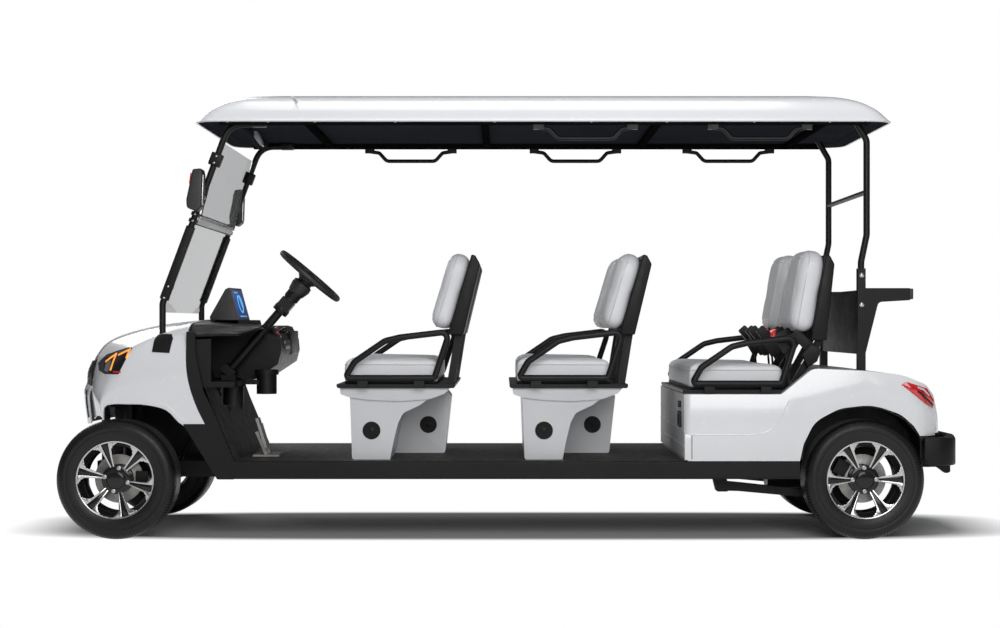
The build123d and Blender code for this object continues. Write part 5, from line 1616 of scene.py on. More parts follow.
# ---------------- roof
@dataclass
class Roof:
    """The crowned roof moulding with its skirt, the rails' bolts and the header over the windshield."""

    lip: float = 1766
    half: float = 595
    front_end: float = 324
    rear_end: float = 126
    levels: Run = (  # height over the lip, set in at the ends, at the sides, corner radius
        (9, 12, 12, 98), (1, 10, 9, 100), (0, 5, 4, 106), (5, 0, 0, 110), (17, 13, 8, 110),
        (57, 52, 28, 110), (94, 105, 70, 120), (122, 165, 150, 130), (144, 235, 300, 120),
    )
    skirt_levels: Run = (  # the same, from the lip in to the liner
        (3, 10, 10, 102), (7, 22, 22, 90), (13, 32, 32, 80), (17, 60, 60, 52),
    )
    wall: float = 5
    skirt_wall: float = 2
    merge_distance: float = 0.2
    crown_edge: float = 140
    bolt_stations: Values = (470, 640, 840, 1180, 1600, 2010, 2330, 2700, 3020)
    bolt_side: float = 565.5
    bolt_height: float = 1771
    bolt: Run = ((0, 4), (4.5, 3.4), (6.5, 1.5), (7, -0.5), (0, -0.5))
    header: Cut = Cut(((468, 1783, 4), (512, 1783, 8), (512, 1757, 10), (490, 1746, 12), (455, 1752, 8)),
                      4, 5)
    header_half: float = 470
    mirror: Cut = Cut(((492, 1806, 8), (516, 1800, 10), (540, 1752, 16), (549, 1718, 8), (536, 1722, 10),
                       (506, 1764, 16)), 4, 4)
    mirror_half: float = 40
    # A crease on the roof's nose, laid as a grey line: painted shade in the crease.
    crease: Run = ((-976, -450, 1887), (-958, -512, 1875), (-944, -556, 1857), (-940, -566, 1850))
    crease_radius: float = 3.6

    def build(self) -> None:
        """Make the roof's dressing."""
        self.shell()
        self.skirt()
        bolts = [(FRONT_AXLE + station, -self.bolt_side, self.bolt_height) for station in self.bolt_stations]
        heads = Bench.heads("rail_bolts", self.bolt, bolts, (0, -1, 0), 12)
        finished(Bench.mirrored(heads), BARE_ALLOY, Slot.STEEL)
        self.fairing()

    def ringed(self, name: str, levels: Run, outward: Point, across: int) -> Piece:
        """A sheet round the roof, closed on itself.

        Args:
            name: Name of the sheet.
            levels: Its rings.
            outward: The way that it faces.
            across: Pieces between two rings.

        Returns:
            The sheet.
        """
        rows = []
        for height, ends, sides, radius in levels:
            x0, x1 = FRONT_AXLE + self.front_end + ends, REAR_AXLE + self.rear_end - ends
            y = self.half - sides
            ring = rounded_box((x0, -y), (x1, y), radius, 8)
            rows.append([(u, v, self.lip + height) for u, v in ring + ring[:1]])
        sheet = Bench.sheet(name, rows, outward, along=1, across=across)
        Bench.open(sheet, "VERT")
        bpy.ops.mesh.remove_doubles(threshold=self.merge_distance * MM)
        return sheet

    def shell(self) -> None:
        """The white moulding as one shell, closed over its crown."""
        shell = self.ringed("roof_moulding", self.levels, (0, 0, 1), 3)
        mesh = bmesh.from_edit_mesh(shell.data)
        for edge in mesh.edges:
            high = all(vertex.co.z > (self.lip + self.crown_edge) * MM for vertex in edge.verts)
            edge.select_set(edge.is_boundary and high)
        bmesh.update_edit_mesh(shell.data)
        bpy.ops.mesh.select_mode(type="EDGE")
        bpy.ops.mesh.edge_face_add()
        Bench.close_outward()
        Bench.walled(shell, self.wall, -1)
        finished(shell, WHITE_PAINT, Slot.BODY, "chassis", ["roof_shell"], 30)

    def skirt(self) -> None:
        """The dark sheet from the lip in to the liner."""
        skirt = self.ringed("liner_skirt", self.skirt_levels, (0, 0, -1), 2)
        Bench.close()
        Bench.walled(skirt, self.skirt_wall)
        finished(skirt, LINER_BLACK, Slot.LINER)

    def fairing(self) -> None:
        """The dark header under the roof's nose, the inside mirror behind it and grey lines along the creases
        on the nose, whose grey is painted shade.
        """
        finished(self.header.around("header_fairing", 0, self.header_half), LINER_BLACK, Slot.PLASTIC)
        finished(self.mirror.around("inside_mirror", 0, self.mirror_half), PALE_SEAL_AND_CREASE_SHADE, Slot.PLASTIC)
        # The crease lines are grey: painted shade.
        crease = Bench.pipe("roof_creases", self.crease, self.crease_radius, sides=8)
        finished(Bench.mirrored(crease), PALE_SEAL_AND_CREASE_SHADE, Slot.BODY)


# ---------------- rear body
@dataclass
class RearBody:
    """The rear moulding, the tail-lights, the bumper and the tow tongue."""

    moulding_bevel: float = 6
    lens_bevel: float = 1.5
    bumper_bevel: float = 8
    lamp_rim: Run = ((168, 660), (238, 622), (286, 572), (282, 566), (234, 614), (166, 654))
    lamp_bar: Run = ((206, 654), (246, 640), (270, 612), (266, 608), (242, 632), (204, 648))
    lamp_side: Values = (-600.5, -598.5)
    tongue: Run = ((-96, 274, 4), (-4, 274, 8), (-2, 240, 12), (-26, 236, 14), (-60, 262, 8))
    tongue_half: float = 18

    def build(self) -> None:
        """Make the rear."""
        body = Bench.from_node("rear_moulding", "rear_body", 0.3)
        Bench.bevel(body, self.moulding_bevel * MM, 3, 35)
        finished(body, WHITE_PAINT, Slot.BODY, "chassis", ["rear_body"], 35)
        self.lamps()
        self.bumper()

    def lamps(self) -> None:
        """The red wedges with softened edges, their dark rims and their pale bars."""
        lens = Bench.from_node("tail_lenses", "taillights", 3)
        Bench.bevel(lens, self.lens_bevel * MM)
        finished(lens, RED_LENS, Slot.RED, "chassis", ["taillights"])
        for name, outline, finish in (
            ("tail_lamp_rims", self.lamp_rim, GLOSS_BLACK), ("tail_lamp_bars", self.lamp_bar, PALE_SEAL_AND_CREASE_SHADE),
        ):
            bar = Bench.side_plate(name, rear(outline), *self.lamp_side, 0.6)
            finished(Bench.mirrored(bar), finish, Slot.RED)

    def bumper(self) -> None:
        """The bumper with rounded edges and the tongue of the tow hitch."""
        hoop = Bench.from_node("rear_bumper_moulding", "rear_bumper", 0.5)
        Bench.bevel(hoop, self.bumper_bevel * MM, 3, 35)
        finished(hoop, BLACK_PLASTIC, Slot.PLASTIC, "chassis", ["rear_bumper"])
        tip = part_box("tow_hitch")[1].x / MM
        outline = rounded([(tip + x, z, radius) for x, z, radius in self.tongue], 4)
        tongue = Bench.side_plate("tow_tongue", outline, -self.tongue_half, self.tongue_half, 2)
        finished(tongue, BLACK_COAT, Slot.STEEL)


# ---------------- windshield, struts and mirrors
@dataclass
class Windshield:
    """The front struts with their sleeves and clamps, the panes, their seam and the mirrors."""

    side: float = 512
    foot: Point = (185, 1000)
    head: Point = (469, 1764)
    foot_height: float = 838
    head_end: float = 604
    bends: Values = (60, 150)
    tube_radius: float = 14
    sleeve: Values = (1173, 330, 37)  # height of its middle, length, width
    sleeve_sides: Values = (17, 15)
    clamp_height: float = 1612
    clamp_size: Values = (56, 50)
    clamp_side: float = 20
    clamp_bolts: Values = (-14, 14)
    clips: Values = (1024, 1072, 1352, 1380)
    clip_size: Values = (17, 36)
    clip_side: float = 15
    bolt: Run = ((0, 3.4), (3.4, 3), (5, 1.4), (5.2, -1), (0, -1))
    bracket: Run = ((566, -540, 1750), (628, -496, 1784))
    pane_half: float = 490
    pane_split: float = 1355
    lower_pane: Values = (1152, 404, 5)
    seam: Run = ((322, 1342), (337, 1374), (345, 1371), (331, 1339))
    seals: Run = ((324, 1338), (341, 1377))
    seal_radius: float = 3
    mirror: Cut = Cut(((334, 1562, 10), (372, 1566, 12), (377, 1541, 30), (371, 1402, 16), (348, 1384, 16),
                       (309, 1400, 18), (307, 1434, 30)), 6, 16, 5)
    mirror_span: Values = (-646, -560)
    glass: Cut = Cut(((372, 1540, 8), (378, 1538, 2), (374, 1412, 2), (367, 1414, 8)), 3, 1.5)
    glass_span: Values = (-632, -574)
    marker: Cut = Cut(((324, 1545, 3), (332, 1548, 3), (326, 1500, 3), (318, 1500, 3)), 3, 2)
    marker_span: Values = (-638, -590)
    arm_foot: Point = (10, 1470)
    arm_end: Run = ((352, -545, 1462), (352, -570, 1462))
    arm_radius: float = 9

    def along(self, height: float) -> float:
        """The strut's station at a height."""
        (x0, z0), (x1, z1) = self.foot, self.head
        return x0 + (x1 - x0) * (height - z0) / (z1 - z0)

    def leaning(self, height: float, length: float, width: float) -> list[Point]:
        """A rectangle centred on the strut and leaning with it.

        Args:
            height: The height of its middle.
            length: Its length along the strut.
            width: Its width across the strut.

        Returns:
            Its corners (x, z).
        """
        way = (Vector(self.head) - Vector(self.foot)).normalized()
        across = Vector((way.y, -way.x))
        middle = Vector((FRONT_AXLE + self.along(height), height))
        signs = ((-0.5, -0.5), (0.5, -0.5), (0.5, 0.5), (-0.5, 0.5))
        return [tuple(middle + way * (a * length) + across * (b * width)) for a, b in signs]

    def build(self) -> None:
        """Make everything in front of the cabin."""
        self.strut()
        self.panes()
        self.seam_strip()
        self.mirrors()

    def pairs(self, rows: Iterable[tuple[Piece, AnyFinish, Slot]], replaces: dict[str, str]) -> None:
        """Mirror pieces across the cart and finish them.

        Args:
            rows: Each left piece with its finish and slot.
            replaces: The CAD node that a piece stands for, by the piece's name.
        """
        for piece, finish, slot in rows:
            nodes = [replaces[piece.name]] if piece.name in replaces else []
            finished(Bench.mirrored(piece), finish, slot, "chassis", nodes)

    def strut(self) -> None:
        """Both struts: bent tube, square sleeve, clamp and clips with their bolts."""
        bends = ((self.foot[0], self.foot_height), (*self.foot, self.bends[0]), (*self.head, self.bends[1]),
                 (self.head_end, self.head[1]))
        route = [(x, -self.side, z) for x, z in rounded(front(bends), 9)]
        tube = Bench.pipe("front_strut_tubes", route, self.tube_radius)
        out, middle, length, width = -self.side, *self.sleeve
        sleeve = Bench.side_plate("strut_sleeves", self.leaning(middle, length, width),
                                  out - self.sleeve_sides[0], out + self.sleeve_sides[1], 5, 3)
        clamps = [Bench.side_plate("strut_clamp", self.leaning(self.clamp_height, *self.clamp_size),
                                   out - self.clamp_side, -self.pane_half, 5, 3)]
        clamps += [Bench.side_plate("strut_clip", self.leaning(height, *self.clip_size),
                                    out - self.clip_side, -self.pane_half, 3) for height in self.clips]
        places = [(height, self.clip_side) for height in self.clips]
        places += [(self.clamp_height + gap, self.clamp_side) for gap in self.clamp_bolts]
        bolts = [(FRONT_AXLE + self.along(height), out - proud, height) for height, proud in places]
        bracket = Bench.block("strut_heads", *front(self.bracket), 5, 3)
        self.pairs((
            (tube, BLACK_COAT, Slot.STEEL), (sleeve, BLACK_PLASTIC, Slot.PLASTIC),
            (Bench.joined("strut_clamps", clamps), BLACK_PLASTIC, Slot.PLASTIC),
            (Bench.heads("strut_bolts", self.bolt, bolts, (0, -1, 0), 14), BARE_ALLOY, Slot.STEEL),
            (bracket, BLACK_COAT, Slot.STEEL),
        ), {"front_strut_tubes": "front_struts"})

    def panes(self) -> None:
        """The upper pane, and the lower one between the struts."""
        upper = Bench.from_node("upper_pane", "windshield")
        Bench.open(upper, "VERT")
        bpy.ops.mesh.bisect(plane_co=(0, 0, self.pane_split * MM), plane_no=(0, 0, 1), clear_inner=True,
                            use_fill=True)
        Bench.close()
        outline = self.leaning(*self.lower_pane)
        lower = Bench.side_plate("lower_pane", outline, -self.pane_half, self.pane_half)
        panes = Bench.joined("windshield_panes", [upper, lower])
        finished(panes, CLEAR_PANE, Slot.PANE, "chassis", ["windshield"])

    def seam_strip(self) -> None:
        """The pale strip over the panes' joint, between two dark seals."""
        half = self.pane_half
        strip = Bench.side_plate("pane_seam", front(self.seam), -half, half, 2)
        finished(strip, PALE_SEAL_AND_CREASE_SHADE, Slot.PLASTIC)
        routes = [[(x, y, z) for y in (-half, 0, half)] for x, z in front(self.seals)]
        seals = [Bench.pipe("pane_seal", route, self.seal_radius, sides=8) for route in routes]
        finished(Bench.joined("pane_seals", seals), BLACK_PLASTIC, Slot.PLASTIC)

    def mirrors(self) -> None:
        """Both door mirrors: a slim rounded housing, its glass, its red marker and its arm."""
        out, height = self.arm_foot
        route = [(FRONT_AXLE + self.along(height), -self.side - out, height), *front(self.arm_end)]
        self.pairs((
            (self.mirror.plate("mirror_housings", *self.mirror_span), SOFT_BLACK, Slot.PLASTIC),
            (self.glass.plate("mirror_glasses", *self.glass_span), MACHINED, Slot.PLASTIC),
            (self.marker.plate("mirror_markers", *self.marker_span), RED_LENS, Slot.RED),
            (Bench.pipe("mirror_arms", route, self.arm_radius, sides=12), BLACK_COAT, Slot.PLASTIC),
        ), {"mirror_housings": "mirrors"})


# ---------------- cabin
@dataclass
class Cabin:
    """The display, the controls on the dash, the steering wheel and its column's covers."""

    display_gap: Run = ((340, -113, 930), (560, 113, 1100))
    display_side: Cut = Cut(((330, 908), (322, 944, 12), (392, 1068, 16), (411, 1077, 6), (452, 925, 4),
                             (456, 905)), 4, 6, 3)
    display_half: float = 112
    display_turn: float = 18
    face_corner: Point = (453, 2, 922)
    face_up: Point = (-42, 0, 153)
    frame_box: Values = (0, 0.02, 1, 0.99)  # left, bottom, right and top as shares of the face
    screen_box: Values = (0.08, 0.1, 0.92, 0.92)
    bar_boxes: Run = ((0.2, 0.14, 0.8, 0.17), (0.2, 0.84, 0.5, 0.87))
    dial: Run = ((34, 0.6), (36, 1.4), (41, 1.4), (43, 0.6), (41, -0.6), (36, -0.6))
    dial_place: Point = (0.5, 0.52, 5.2)
    switch: Point = (636, -176, 874)
    switch_way: Point = (0.94, 0, 0.34)
    bezel: Run = ((0, 5), (16, 5), (22, 8), (26, 6), (27, -8), (0, -8))
    knob: Run = ((0, 44), (8, 44), (12, 40), (13, 24), (9, 18), (9, 4), (0, 4))
    rockers: Values = (-92, -46, 0, 46)
    rocker: Run = ((640, 0, 800), (662, 26, 838))
    glove_lid: Run = ((648, 150, 770), (660, 430, 880))
    column_foot: Point = (433, -300, 702)
    column_tilt: float = 49.5
    column_length: float = 552
    rim_radius: float = 153.5
    rim_section: float = 13.5
    rim_sides: int = 12
    boss: Run = ((0, 12), (30, 11), (44, 4), (50, -8), (46, -22), (34, -34), (0, -34))
    cap: Run = ((0, 16), (20, 15), (26, 11), (0, 11))
    spoke_angles: Values = (-90, 20, 160)
    spoke: Run = ((34, -22), (90, -13), (153.5, -19), (153.5, 19), (90, 13), (34, 22))
    spoke_sink: float = 6
    spoke_depth: float = 9
    bell: Run = ((30, -38), (44, -46), (46, -64), (38, -96), (24, -112), (20, -112), (20, -38))
    boot_ends: Run = ((20, -112), (20, -152))
    boot_folds: Values = (-114, -123, -132, -141)
    boot_fold: Run = ((31, 0), (31, -4), (25, -6), (25, -8))
    clamp: Run = ((19, -180), (34, -180), (36, -184), (36, -204), (34, -208), (19, -208))

    def build(self) -> None:
        """Make the cabin's dressing."""
        self.display()
        self.controls()
        self.wheel()
        self.column()

    def display(self) -> None:
        """A wedge-shaped housing with a framed lit panel, a ring and bars on it."""
        dash = Bench.from_node("dash_mouldings", "dashboard", 1)
        cutter = Bench.block("display_gap", *front(self.display_gap), 0)
        Bench.modify(dash, "BOOLEAN", object=cutter, operation="DIFFERENCE", solver="EXACT")
        bpy.data.objects.remove(cutter)
        finished(dash, BLACK_PLASTIC, Slot.PLASTIC, "chassis", ["dashboard"], 35)
        housing = self.display_side.around("display_housing", 0, self.display_half)
        for vertex in housing.data.vertices:
            if vertex.co.y > 0:
                vertex.co.x += self.display_turn * MM
        finished(housing, SOFT_BLACK, Slot.PLASTIC)
        x, inset, z = self.face_corner
        corner = Vector((FRONT_AXLE + x, inset - self.display_half, z))
        over = Vector((self.display_turn, 2 * (self.display_half - inset), 0))
        up = Vector(self.face_up)
        out = over.cross(up).normalized()

        def spot(u: float, v: float, w: float) -> Vector:
            """A place on the display's face from two shares and a height over it."""
            return (corner + over * u + up * v + out * w) * MM

        def panel(name: str, box: Point, levels: Point, edges: Point, finish: AnyFinish, slot: Slot,
                  replaces: Sequence[str] = ()) -> None:
            """A panel on the face.

            Args:
                name: Name of the piece.
                box: Its left, bottom, right and top as shares of the face.
                levels: The heights of its underside and its top.
                edges: The radius of its corners as a share, and its bevel in millimetres.
                finish: Its finish.
                slot: The record's slot of that finish.
                replaces: The CAD nodes that it stands for.
            """
            ring = rounded_box(box[:2], box[2:], edges[0], 4)
            push = out * ((levels[1] - levels[0]) * MM)
            piece = Bench.plate(name, [spot(u, v, levels[0]) for u, v in ring], push, edges[1] * MM)
            finished(piece, finish, slot, "chassis", replaces)

        panel("display_frame", self.frame_box, (-1, 4), (0.04, 1), WARM_GREY, Slot.PLASTIC)
        panel("display_panel", self.screen_box, (3.5, 5.1), (0.03, 0.4), BLUE_PANEL, Slot.SCREEN,
              ["display_screen"])
        dial = Bench.turned("display_dial", self.dial, spot(*self.dial_place) / MM, out, 40)
        finished(dial, PALE_GLOW, Slot.SCREEN)
        for name, box in zip(("display_bar_low", "display_bar_high"), self.bar_boxes):
            panel(name, box, (5, 5.8), (0.04, 1), PALE_GLOW, Slot.SCREEN)

    def controls(self) -> None:
        """The maroon bezel with its knob, the row of switches and the glove box's lid."""
        centre = front([self.switch])[0]
        bezel = Bench.turned("switch_bezel", self.bezel, centre, self.switch_way, 40)
        finished(bezel, MAROON, Slot.PLASTIC)
        knob = Bench.turned("switch_knob", self.knob, centre, self.switch_way, 32)
        finished(knob, GLOSS_BLACK, Slot.PLASTIC)
        low, high = front(self.rocker)
        parts = [Bench.block(f"rocker_{y}", (low[0], low[1] + y, low[2]), (high[0], high[1] + y, high[2]), 3)
                 for y in self.rockers]
        finished(Bench.joined("rocker_switches", parts), GLOSS_BLACK, Slot.PLASTIC)
        finished(Bench.block("glove_lid", *front(self.glove_lid), 6, 3), SOFT_BLACK, Slot.PLASTIC)

    def frame_of_column(self) -> tuple[Vector, Vector, Vector]:
        """Where the wheel stands on its column.

        Returns:
            The wheel's centre in millimetres, the column's axis and the wheel's upward way.
        """
        tilt = math.radians(self.column_tilt)
        axis = Vector((math.cos(tilt), 0, math.sin(tilt)))
        foot = Vector(front([self.column_foot])[0])
        return foot + axis * self.column_length, axis, Vector((-axis.z, 0, axis.x))

    def wheel(self) -> None:
        """The steering wheel: soft rim, three shaped spokes and a dished boss."""
        centre, axis, up = self.frame_of_column()
        side = Vector((0, 1, 0))
        turns = [math.tau * step / self.rim_sides for step in range(self.rim_sides)]
        rim = [(self.rim_radius + self.rim_section * math.cos(turn), self.rim_section * math.sin(turn))
               for turn in turns]
        hoop = Bench.turned("wheel_rim", rim, centre, axis, 72)
        finished(hoop, SOFT_BLACK, Slot.GRIP, "steering_wheel", ["steering_wheel"], 60)
        boss = Bench.turned("wheel_boss", self.boss, centre, axis)
        finished(boss, SOFT_BLACK, Slot.GRIP, "steering_wheel")
        cap = Bench.turned("wheel_cap", self.cap, centre, axis, 40)
        finished(cap, GLOSS_BLACK, Slot.GRIP, "steering_wheel")
        spokes = []
        for angle in self.spoke_angles:
            turn = math.radians(angle)
            out = side * math.cos(turn) + up * math.sin(turn)
            wide = axis.cross(out)
            places = [(centre + out * a + wide * b - axis * self.spoke_sink) * MM for a, b in self.spoke]
            spokes.append(Bench.plate(f"spoke_{angle}", places, axis * (self.spoke_depth * MM), 0.003, 3))
        finished(Bench.joined("wheel_spokes", spokes), SOFT_BLACK, Slot.GRIP, "steering_wheel")

    def column(self) -> None:
        """The bell under the wheel, a ribbed boot and a clamp ring."""
        centre, axis, _ = self.frame_of_column()
        folds = [(radius, start + along) for start in self.boot_folds for radius, along in self.boot_fold]
        boot = [self.boot_ends[0], *folds, self.boot_ends[1]]
        for name, profile, steps, finish, slot in (
            ("column_bell", self.bell, 40, SOFT_BLACK, Slot.PLASTIC),
            ("column_boot", boot, 32, SOFT_BLACK, Slot.PLASTIC),
            ("column_clamp", self.clamp, 32, BLACK_COAT, Slot.STEEL),
        ):
            finished(Bench.turned(name, profile, centre, axis, steps), finish, slot)


# ---------------- rear details
@dataclass
class RearDetails:
    """Wheel-house linings, post bolts, side creases, the kick panel, its sockets, belts and the rack's ends.

    The stations of bay and of the belts run from the front axle.
    """

    house_run: Run = (
        (-266, 338), (-256, 405), (-212, 492), (-110, 547), (28, 562), (146, 521), (200, 473), (231, 428),
        (233, 350),
    )
    house_side: Values = (396, 592)
    house_wall: float = 4
    wall_sides: Values = (-398, -393)
    bay: Run = ((-20, 480), (60, 340), (430, 300), (430, 540), (300, 640), (0, 640))
    bay_sides: Values = (-172, -168)
    post: Point = (6, -482)
    bolt_heights: Values = (1121, 995)
    bolt: Run = ((0, 6), (5, 5.4), (8, 3), (10, 1.4), (10, -1), (0, -1))
    crease: Run = ((-752, 446), (-600, 445), (-470, 446), (-412, 460), (-370, 500), (-322, 590))
    crease_side: float = -600.2
    crease_radius: float = 2.4
    kick: float = -762
    kick_half: float = 588
    kick_heights: Values = (345, 614)
    kick_span: Values = (-1.5, 2)
    ribs: Values = (392, 455, 520)
    rib: Run = ((-3, 0), (1, 6))
    corner: Run = ((-1, -600, 338), (34, -584, 448))
    socket_side: float = -438
    socket_depth: float = 15
    sockets: Run = ((64, 470, 538), (36, 554, 582))  # width, bottom, top
    screw: Run = ((0, 1.5), (3, 1.2), (4, -0.5), (0, -0.5))
    screw_in: Values = (9, 8)
    belts: Values = (-300, -60, 60, 300)
    strap: Cut = Cut(((2896, 905, 10), (2770, 832, 8), (2812, 764, 14), (2926, 836, 14)), 4, 1)
    strap_half: float = 2
    buckle: Cut = Cut(((2742, 880, 6), (2772, 908, 6), (2806, 866, 6), (2776, 838, 6)), 3, 5, 3)
    buckle_half: float = 16
    button: Cut = Cut(((2800, 884, 3), (2832, 892, 3), (2826, 858, 3), (2812, 850, 3)), 2, 2)
    button_half: float = 12
    side_belts: float = 452
    side_strap: Cut = Cut(((2866, 868, 6), (2908, 884, 6), (2990, 812, 8), (2962, 770, 8)), 3, 1)
    side_buckle: Cut = Cut(((2944, 724, 6), (2984, 752, 6), (3002, 806, 6), (2958, 824, 6), (2920, 782, 6)),
                           3, 5, 3)
    side_buckle_half: float = 13
    rack: float = 216
    rack_cap: Run = ((-4, -14, 1018), (12, 14, 1064))
    rack_cap_side: float = 465
    rack_bar: Point = (-13, 450, 1040)
    rack_bar_radius: float = 10

    def build(self) -> None:
        """Make every detail."""
        self.houses()
        bolts = [(REAR_AXLE + self.post[0], self.post[1], height) for height in self.bolt_heights]
        heads = Bench.heads("post_bolts", self.bolt, bolts, (0, -1, 0), 20)
        finished(Bench.mirrored(heads), MACHINED, Slot.STEEL)
        route = [(x, self.crease_side, z) for x, z in rear(smooth_run(self.crease))]
        crease = Bench.pipe("side_creases", route, self.crease_radius, sides=8)
        finished(Bench.mirrored(crease), WHITE_PAINT, Slot.BODY)
        self.kick_panel()
        self.charge_sockets()
        self.webbing()
        self.rack_ends()

    def houses(self) -> None:
        """The dark linings over the rear wheels, and the flat inner sides of all four wheel openings."""
        inner, outer = self.house_side
        rows = [[(x, -y, z) for x, z in rear(self.house_run)] for y in (inner, (inner + outer) / 2, outer)]
        lining = Bench.sheet("rear_wheel_houses", rows, (0, 0, -1), across=1)
        Bench.walled(lining, self.house_wall)
        inside = Bench.side_plate("rear_house_walls", rear(smooth_run(self.house_run, 4)), *self.wall_sides)
        bay = Bench.side_plate("front_bay_sides", front(self.bay), *self.bay_sides, 1)
        for piece, nodes in ((bay, []), (lining, ["rear_liners"]), (inside, [])):
            finished(Bench.mirrored(piece), BLACK_PLASTIC, Slot.PLASTIC, "chassis", nodes)

    def kick_panel(self) -> None:
        """The panel under the last row and its ribs, in darker white as painted shade, with its white
        corners.
        """
        x, half = REAR_AXLE + self.kick, self.kick_half
        (back, low), (ahead, high) = self.rib
        ribs = [Bench.block(f"kick_rib_{z}", (x + back, -half, z + low), (x + ahead, half, z + high), 1.5)
                for z in self.ribs]
        finished(Bench.joined("kick_panel_ribs", ribs), PAINTED_SHADE_WHITE, Slot.BODY)
        # A thin plate of darker white over the rear body's kick face: painted shade.
        panel = Bench.block("kick_panel", (x + self.kick_span[0], -half, self.kick_heights[0]),
                            (x + self.kick_span[1], half, self.kick_heights[1]), 1)
        finished(panel, PAINTED_SHADE_WHITE, Slot.BODY)
        low, high = ((x + ahead, y, z) for ahead, y, z in self.corner)
        finished(Bench.mirrored(Bench.block("kick_panel_corners", low, high, 3, 3)), WHITE_PAINT, Slot.BODY)

    def charge_sockets(self) -> None:
        """Two sockets on the kick panel, each held by two screws."""
        back = REAR_AXLE + self.kick
        face = back - self.socket_depth
        parts, screws = [], []
        for width, low, high in self.sockets:
            left, right = self.socket_side - width / 2, self.socket_side + width / 2
            parts.append(Bench.block(f"socket_{low}", (face, left, low), (back, right, high), 5, 3))
            across, up = self.screw_in
            screws += [(face, left + across, low + up), (face, left + across, high - up)]
        finished(Bench.joined("charge_sockets", parts), LINER_BLACK, Slot.PLASTIC)
        finished(Bench.heads("socket_screws", self.screw, screws, (-1, 0, 0), 12), MACHINED, Slot.STEEL)

    def webbing(self) -> None:
        """Webbing from each reel over the last row's seats, and buckles with red buttons."""
        sides = [side.value * self.side_belts for side in Side]
        for name, finish, slot, rows in (
            ("belt_webbing", BLACK_PLASTIC, Slot.BELT,
             ((self.strap, self.belts, self.strap_half), (self.side_strap, sides, self.strap_half))),
            ("belt_buckles", BLACK_PLASTIC, Slot.BELT,
             ((self.buckle, self.belts, self.buckle_half), (self.side_buckle, sides, self.side_buckle_half))),
            # The buttons take the red lens finish, whose faint glow on them is painted light: they have no
            # lamp.
            ("belt_buttons", RED_LENS, Slot.RED, ((self.button, self.belts, self.button_half),)),
        ):
            parts = [cut.around(f"{name}_{y}", y, half) for cut, middles, half in rows for y in middles]
            finished(Bench.joined(name, parts), finish, slot)

    def rack_ends(self) -> None:
        """Caps on the rack's rear corners and the bar between them."""
        x = REAR_AXLE + self.rack
        low, high = ((x + ahead, y - self.rack_cap_side, z) for ahead, y, z in self.rack_cap)
        cap = Bench.block("rack_caps", low, high, 4, 3)
        finished(Bench.mirrored(cap), SOFT_BLACK, Slot.PLASTIC)
        ahead, half, z = self.rack_bar
        bar = Bench.pipe("rack_bar", [(x + ahead, -half, z), (x + ahead, half, z)], self.rack_bar_radius)
        finished(bar, BLACK_COAT, Slot.STEEL)


# ---------------- studio
@dataclass(frozen=True)
class Lamp:
    """A soft square lamp: its place and target in metres, its size and its power in watts."""

    name: str
    place: Point
    target: Point
    size: float
    power: float


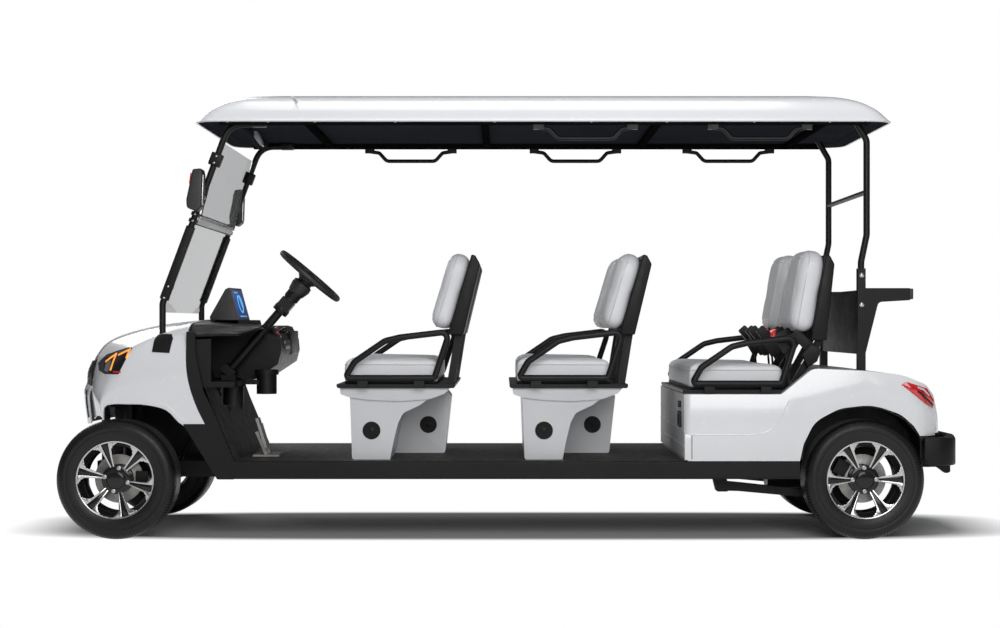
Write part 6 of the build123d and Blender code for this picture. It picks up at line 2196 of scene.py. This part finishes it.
@dataclass
class Studio:
    """The floor, grey round the cart as painted shade and white beyond, the soft lamps, the world and the
    camera.
    """

    eye: Point = (-0.0695, -8.427, 0.912)
    lens: float = 66.85
    sensor: float = 36
    shift_x: float = -0.003
    shift_y: float = 0.010
    clip_end: float = 200
    floor_half: float = 30
    # Grey rather than white: round the cart it darkens the floor and deepens the real shadow, as painted
    # shade.
    floor_colour: Values = (0.5, 0.5, 0.5, 1)
    background: float = 1
    sky: Values = (0.95, 0.97, 1, 1)
    sky_top: float = 0.9
    horizon: float = 0.05
    zenith: float = 0.42
    # The ellipse round the cart where the floor keeps its grey painted shade, fading to white from near to
    # far.
    spread: Point = (0.27, 1, 1)
    near: float = 0.27
    far: float = 0.38
    lights: tuple[Lamp, ...] = (
        Lamp("key", (0.6, -6.2, 3.1), (0.1, 0, 0.8), 4, 232),
        Lamp("top", (0, 0.3, 5.5), (0, 0, 0), 3.6, 95),
        Lamp("back", (-3.5, 5, 3.5), (0, 0, 0.8), 3, 80),
    )

    def build(self) -> None:
        """Make the whole studio."""
        self.floor()
        self.lamps()
        self.world()
        self.camera()
        bpy.context.scene.view_settings.view_transform = "Standard"

    def floor(self) -> None:
        """A floor that keeps the cart's shadow, darkened to grey round the cart as painted shade, and turns
        to plain white away from it.
        """
        bpy.ops.mesh.primitive_plane_add(size=2 * self.floor_half, location=(0, 0, 0))
        floor = bpy.context.object
        floor.name = "studio_floor"
        graph = Graph("studio_floor")
        graph.put(Base_Color=self.floor_colour, Roughness=0.9, Specular_IOR_Level=0.1)
        self.lift(graph)
        floor.data.materials.append(graph.material)

    def lift(self, graph: Graph) -> None:
        """Blend what the camera and gloss see of the floor to plain white, by distance from the cart; nearer
        in, the grey floor stays as painted shade.

        Args:
            graph: The floor's material.
        """
        path = graph.add("ShaderNodeLightPath").outputs
        light = graph.add("ShaderNodeEmission", {"Color": PLAIN_WHITE})
        spread = graph.place(self.spread)
        squares = graph.add("ShaderNodeVectorMath", {0: spread, 1: spread}, operation="MULTIPLY")
        distance = graph.add("ShaderNodeVectorMath", {0: squares.outputs["Vector"]}, operation="LENGTH")
        fade = graph.add("ShaderNodeMapRange", {
            "From Min": self.near, "From Max": self.far, "Value": distance.outputs["Value"],
        })
        seen = graph.math("MAXIMUM", path["Is Camera Ray"], path["Is Glossy Ray"])
        share = graph.math("MULTIPLY", seen, fade.outputs["Result"])
        blend = graph.add("ShaderNodeMixShader", {
            "Fac": share, 1: graph.shader.outputs["BSDF"], 2: light.outputs["Emission"],
        })
        graph.feed(graph.tree.nodes["Material Output"].inputs["Surface"], blend.outputs["Shader"])

    def lamps(self) -> None:
        """Soft boxes over the cart and to its sides."""
        for light in self.lights:
            data = bpy.data.lights.new(light.name, "AREA")
            data.energy = light.power
            data.size = light.size
            lamp = Bench.linked(light.name, data)
            lamp.location = light.place
            way = Vector(light.target) - Vector(light.place)
            lamp.rotation_euler = way.to_track_quat("-Z", "Y").to_euler()

    def world(self) -> None:
        """Pale light, strongest from overhead, and plain white where the camera or glass sees it."""
        world = bpy.data.worlds.new("studio")
        bpy.context.scene.world = world
        world.use_nodes = True
        nodes = Nodes(world.node_tree)
        light = nodes.tree.nodes["Background"]
        place = nodes.add("ShaderNodeTexCoord")
        split = nodes.add("ShaderNodeSeparateXYZ", {"Vector": place.outputs["Generated"]})
        height = nodes.add("ShaderNodeMapRange", {
            "From Min": 0, "From Max": self.sky_top, "To Min": self.horizon, "To Max": self.zenith,
            "Value": split.outputs["Z"],
        })
        nodes.feed(light.inputs["Color"], self.sky)
        nodes.feed(light.inputs["Strength"], height.outputs["Result"])
        plain = nodes.add("ShaderNodeBackground", {"Color": PLAIN_WHITE, "Strength": self.background})
        path = nodes.add("ShaderNodeLightPath").outputs
        seen = nodes.math("MAXIMUM", path["Is Camera Ray"], path["Is Transmission Ray"])
        mix = nodes.add("ShaderNodeMixShader", {
            "Fac": seen, 1: light.outputs["Background"], 2: plain.outputs["Background"],
        })
        nodes.feed(nodes.tree.nodes["World Output"].inputs["Surface"], mix.outputs["Shader"])

    def camera(self) -> None:
        """A level camera square to the cart's side."""
        data = bpy.data.cameras.new("camera")
        data.lens = self.lens
        data.sensor_width = self.sensor
        data.shift_x = self.shift_x
        data.shift_y = self.shift_y
        data.clip_end = self.clip_end
        camera = Bench.linked("camera", data)
        camera.location = self.eye
        camera.rotation_euler = (math.radians(90), 0, 0)
        bpy.context.scene.camera = camera


def main() -> None:
    """Dress the cart and set up its studio."""
    bpy.ops.object.select_all(action="DESELECT")
    dress_nodes()
    RoadWheel().build()
    Seats().build()
    FrontBody().build()
    Roof().build()
    RearBody().build()
    Windshield().build()
    Cabin().build()
    RearDetails().build()
    Studio().build()


if __name__ == "__main__":
    main()
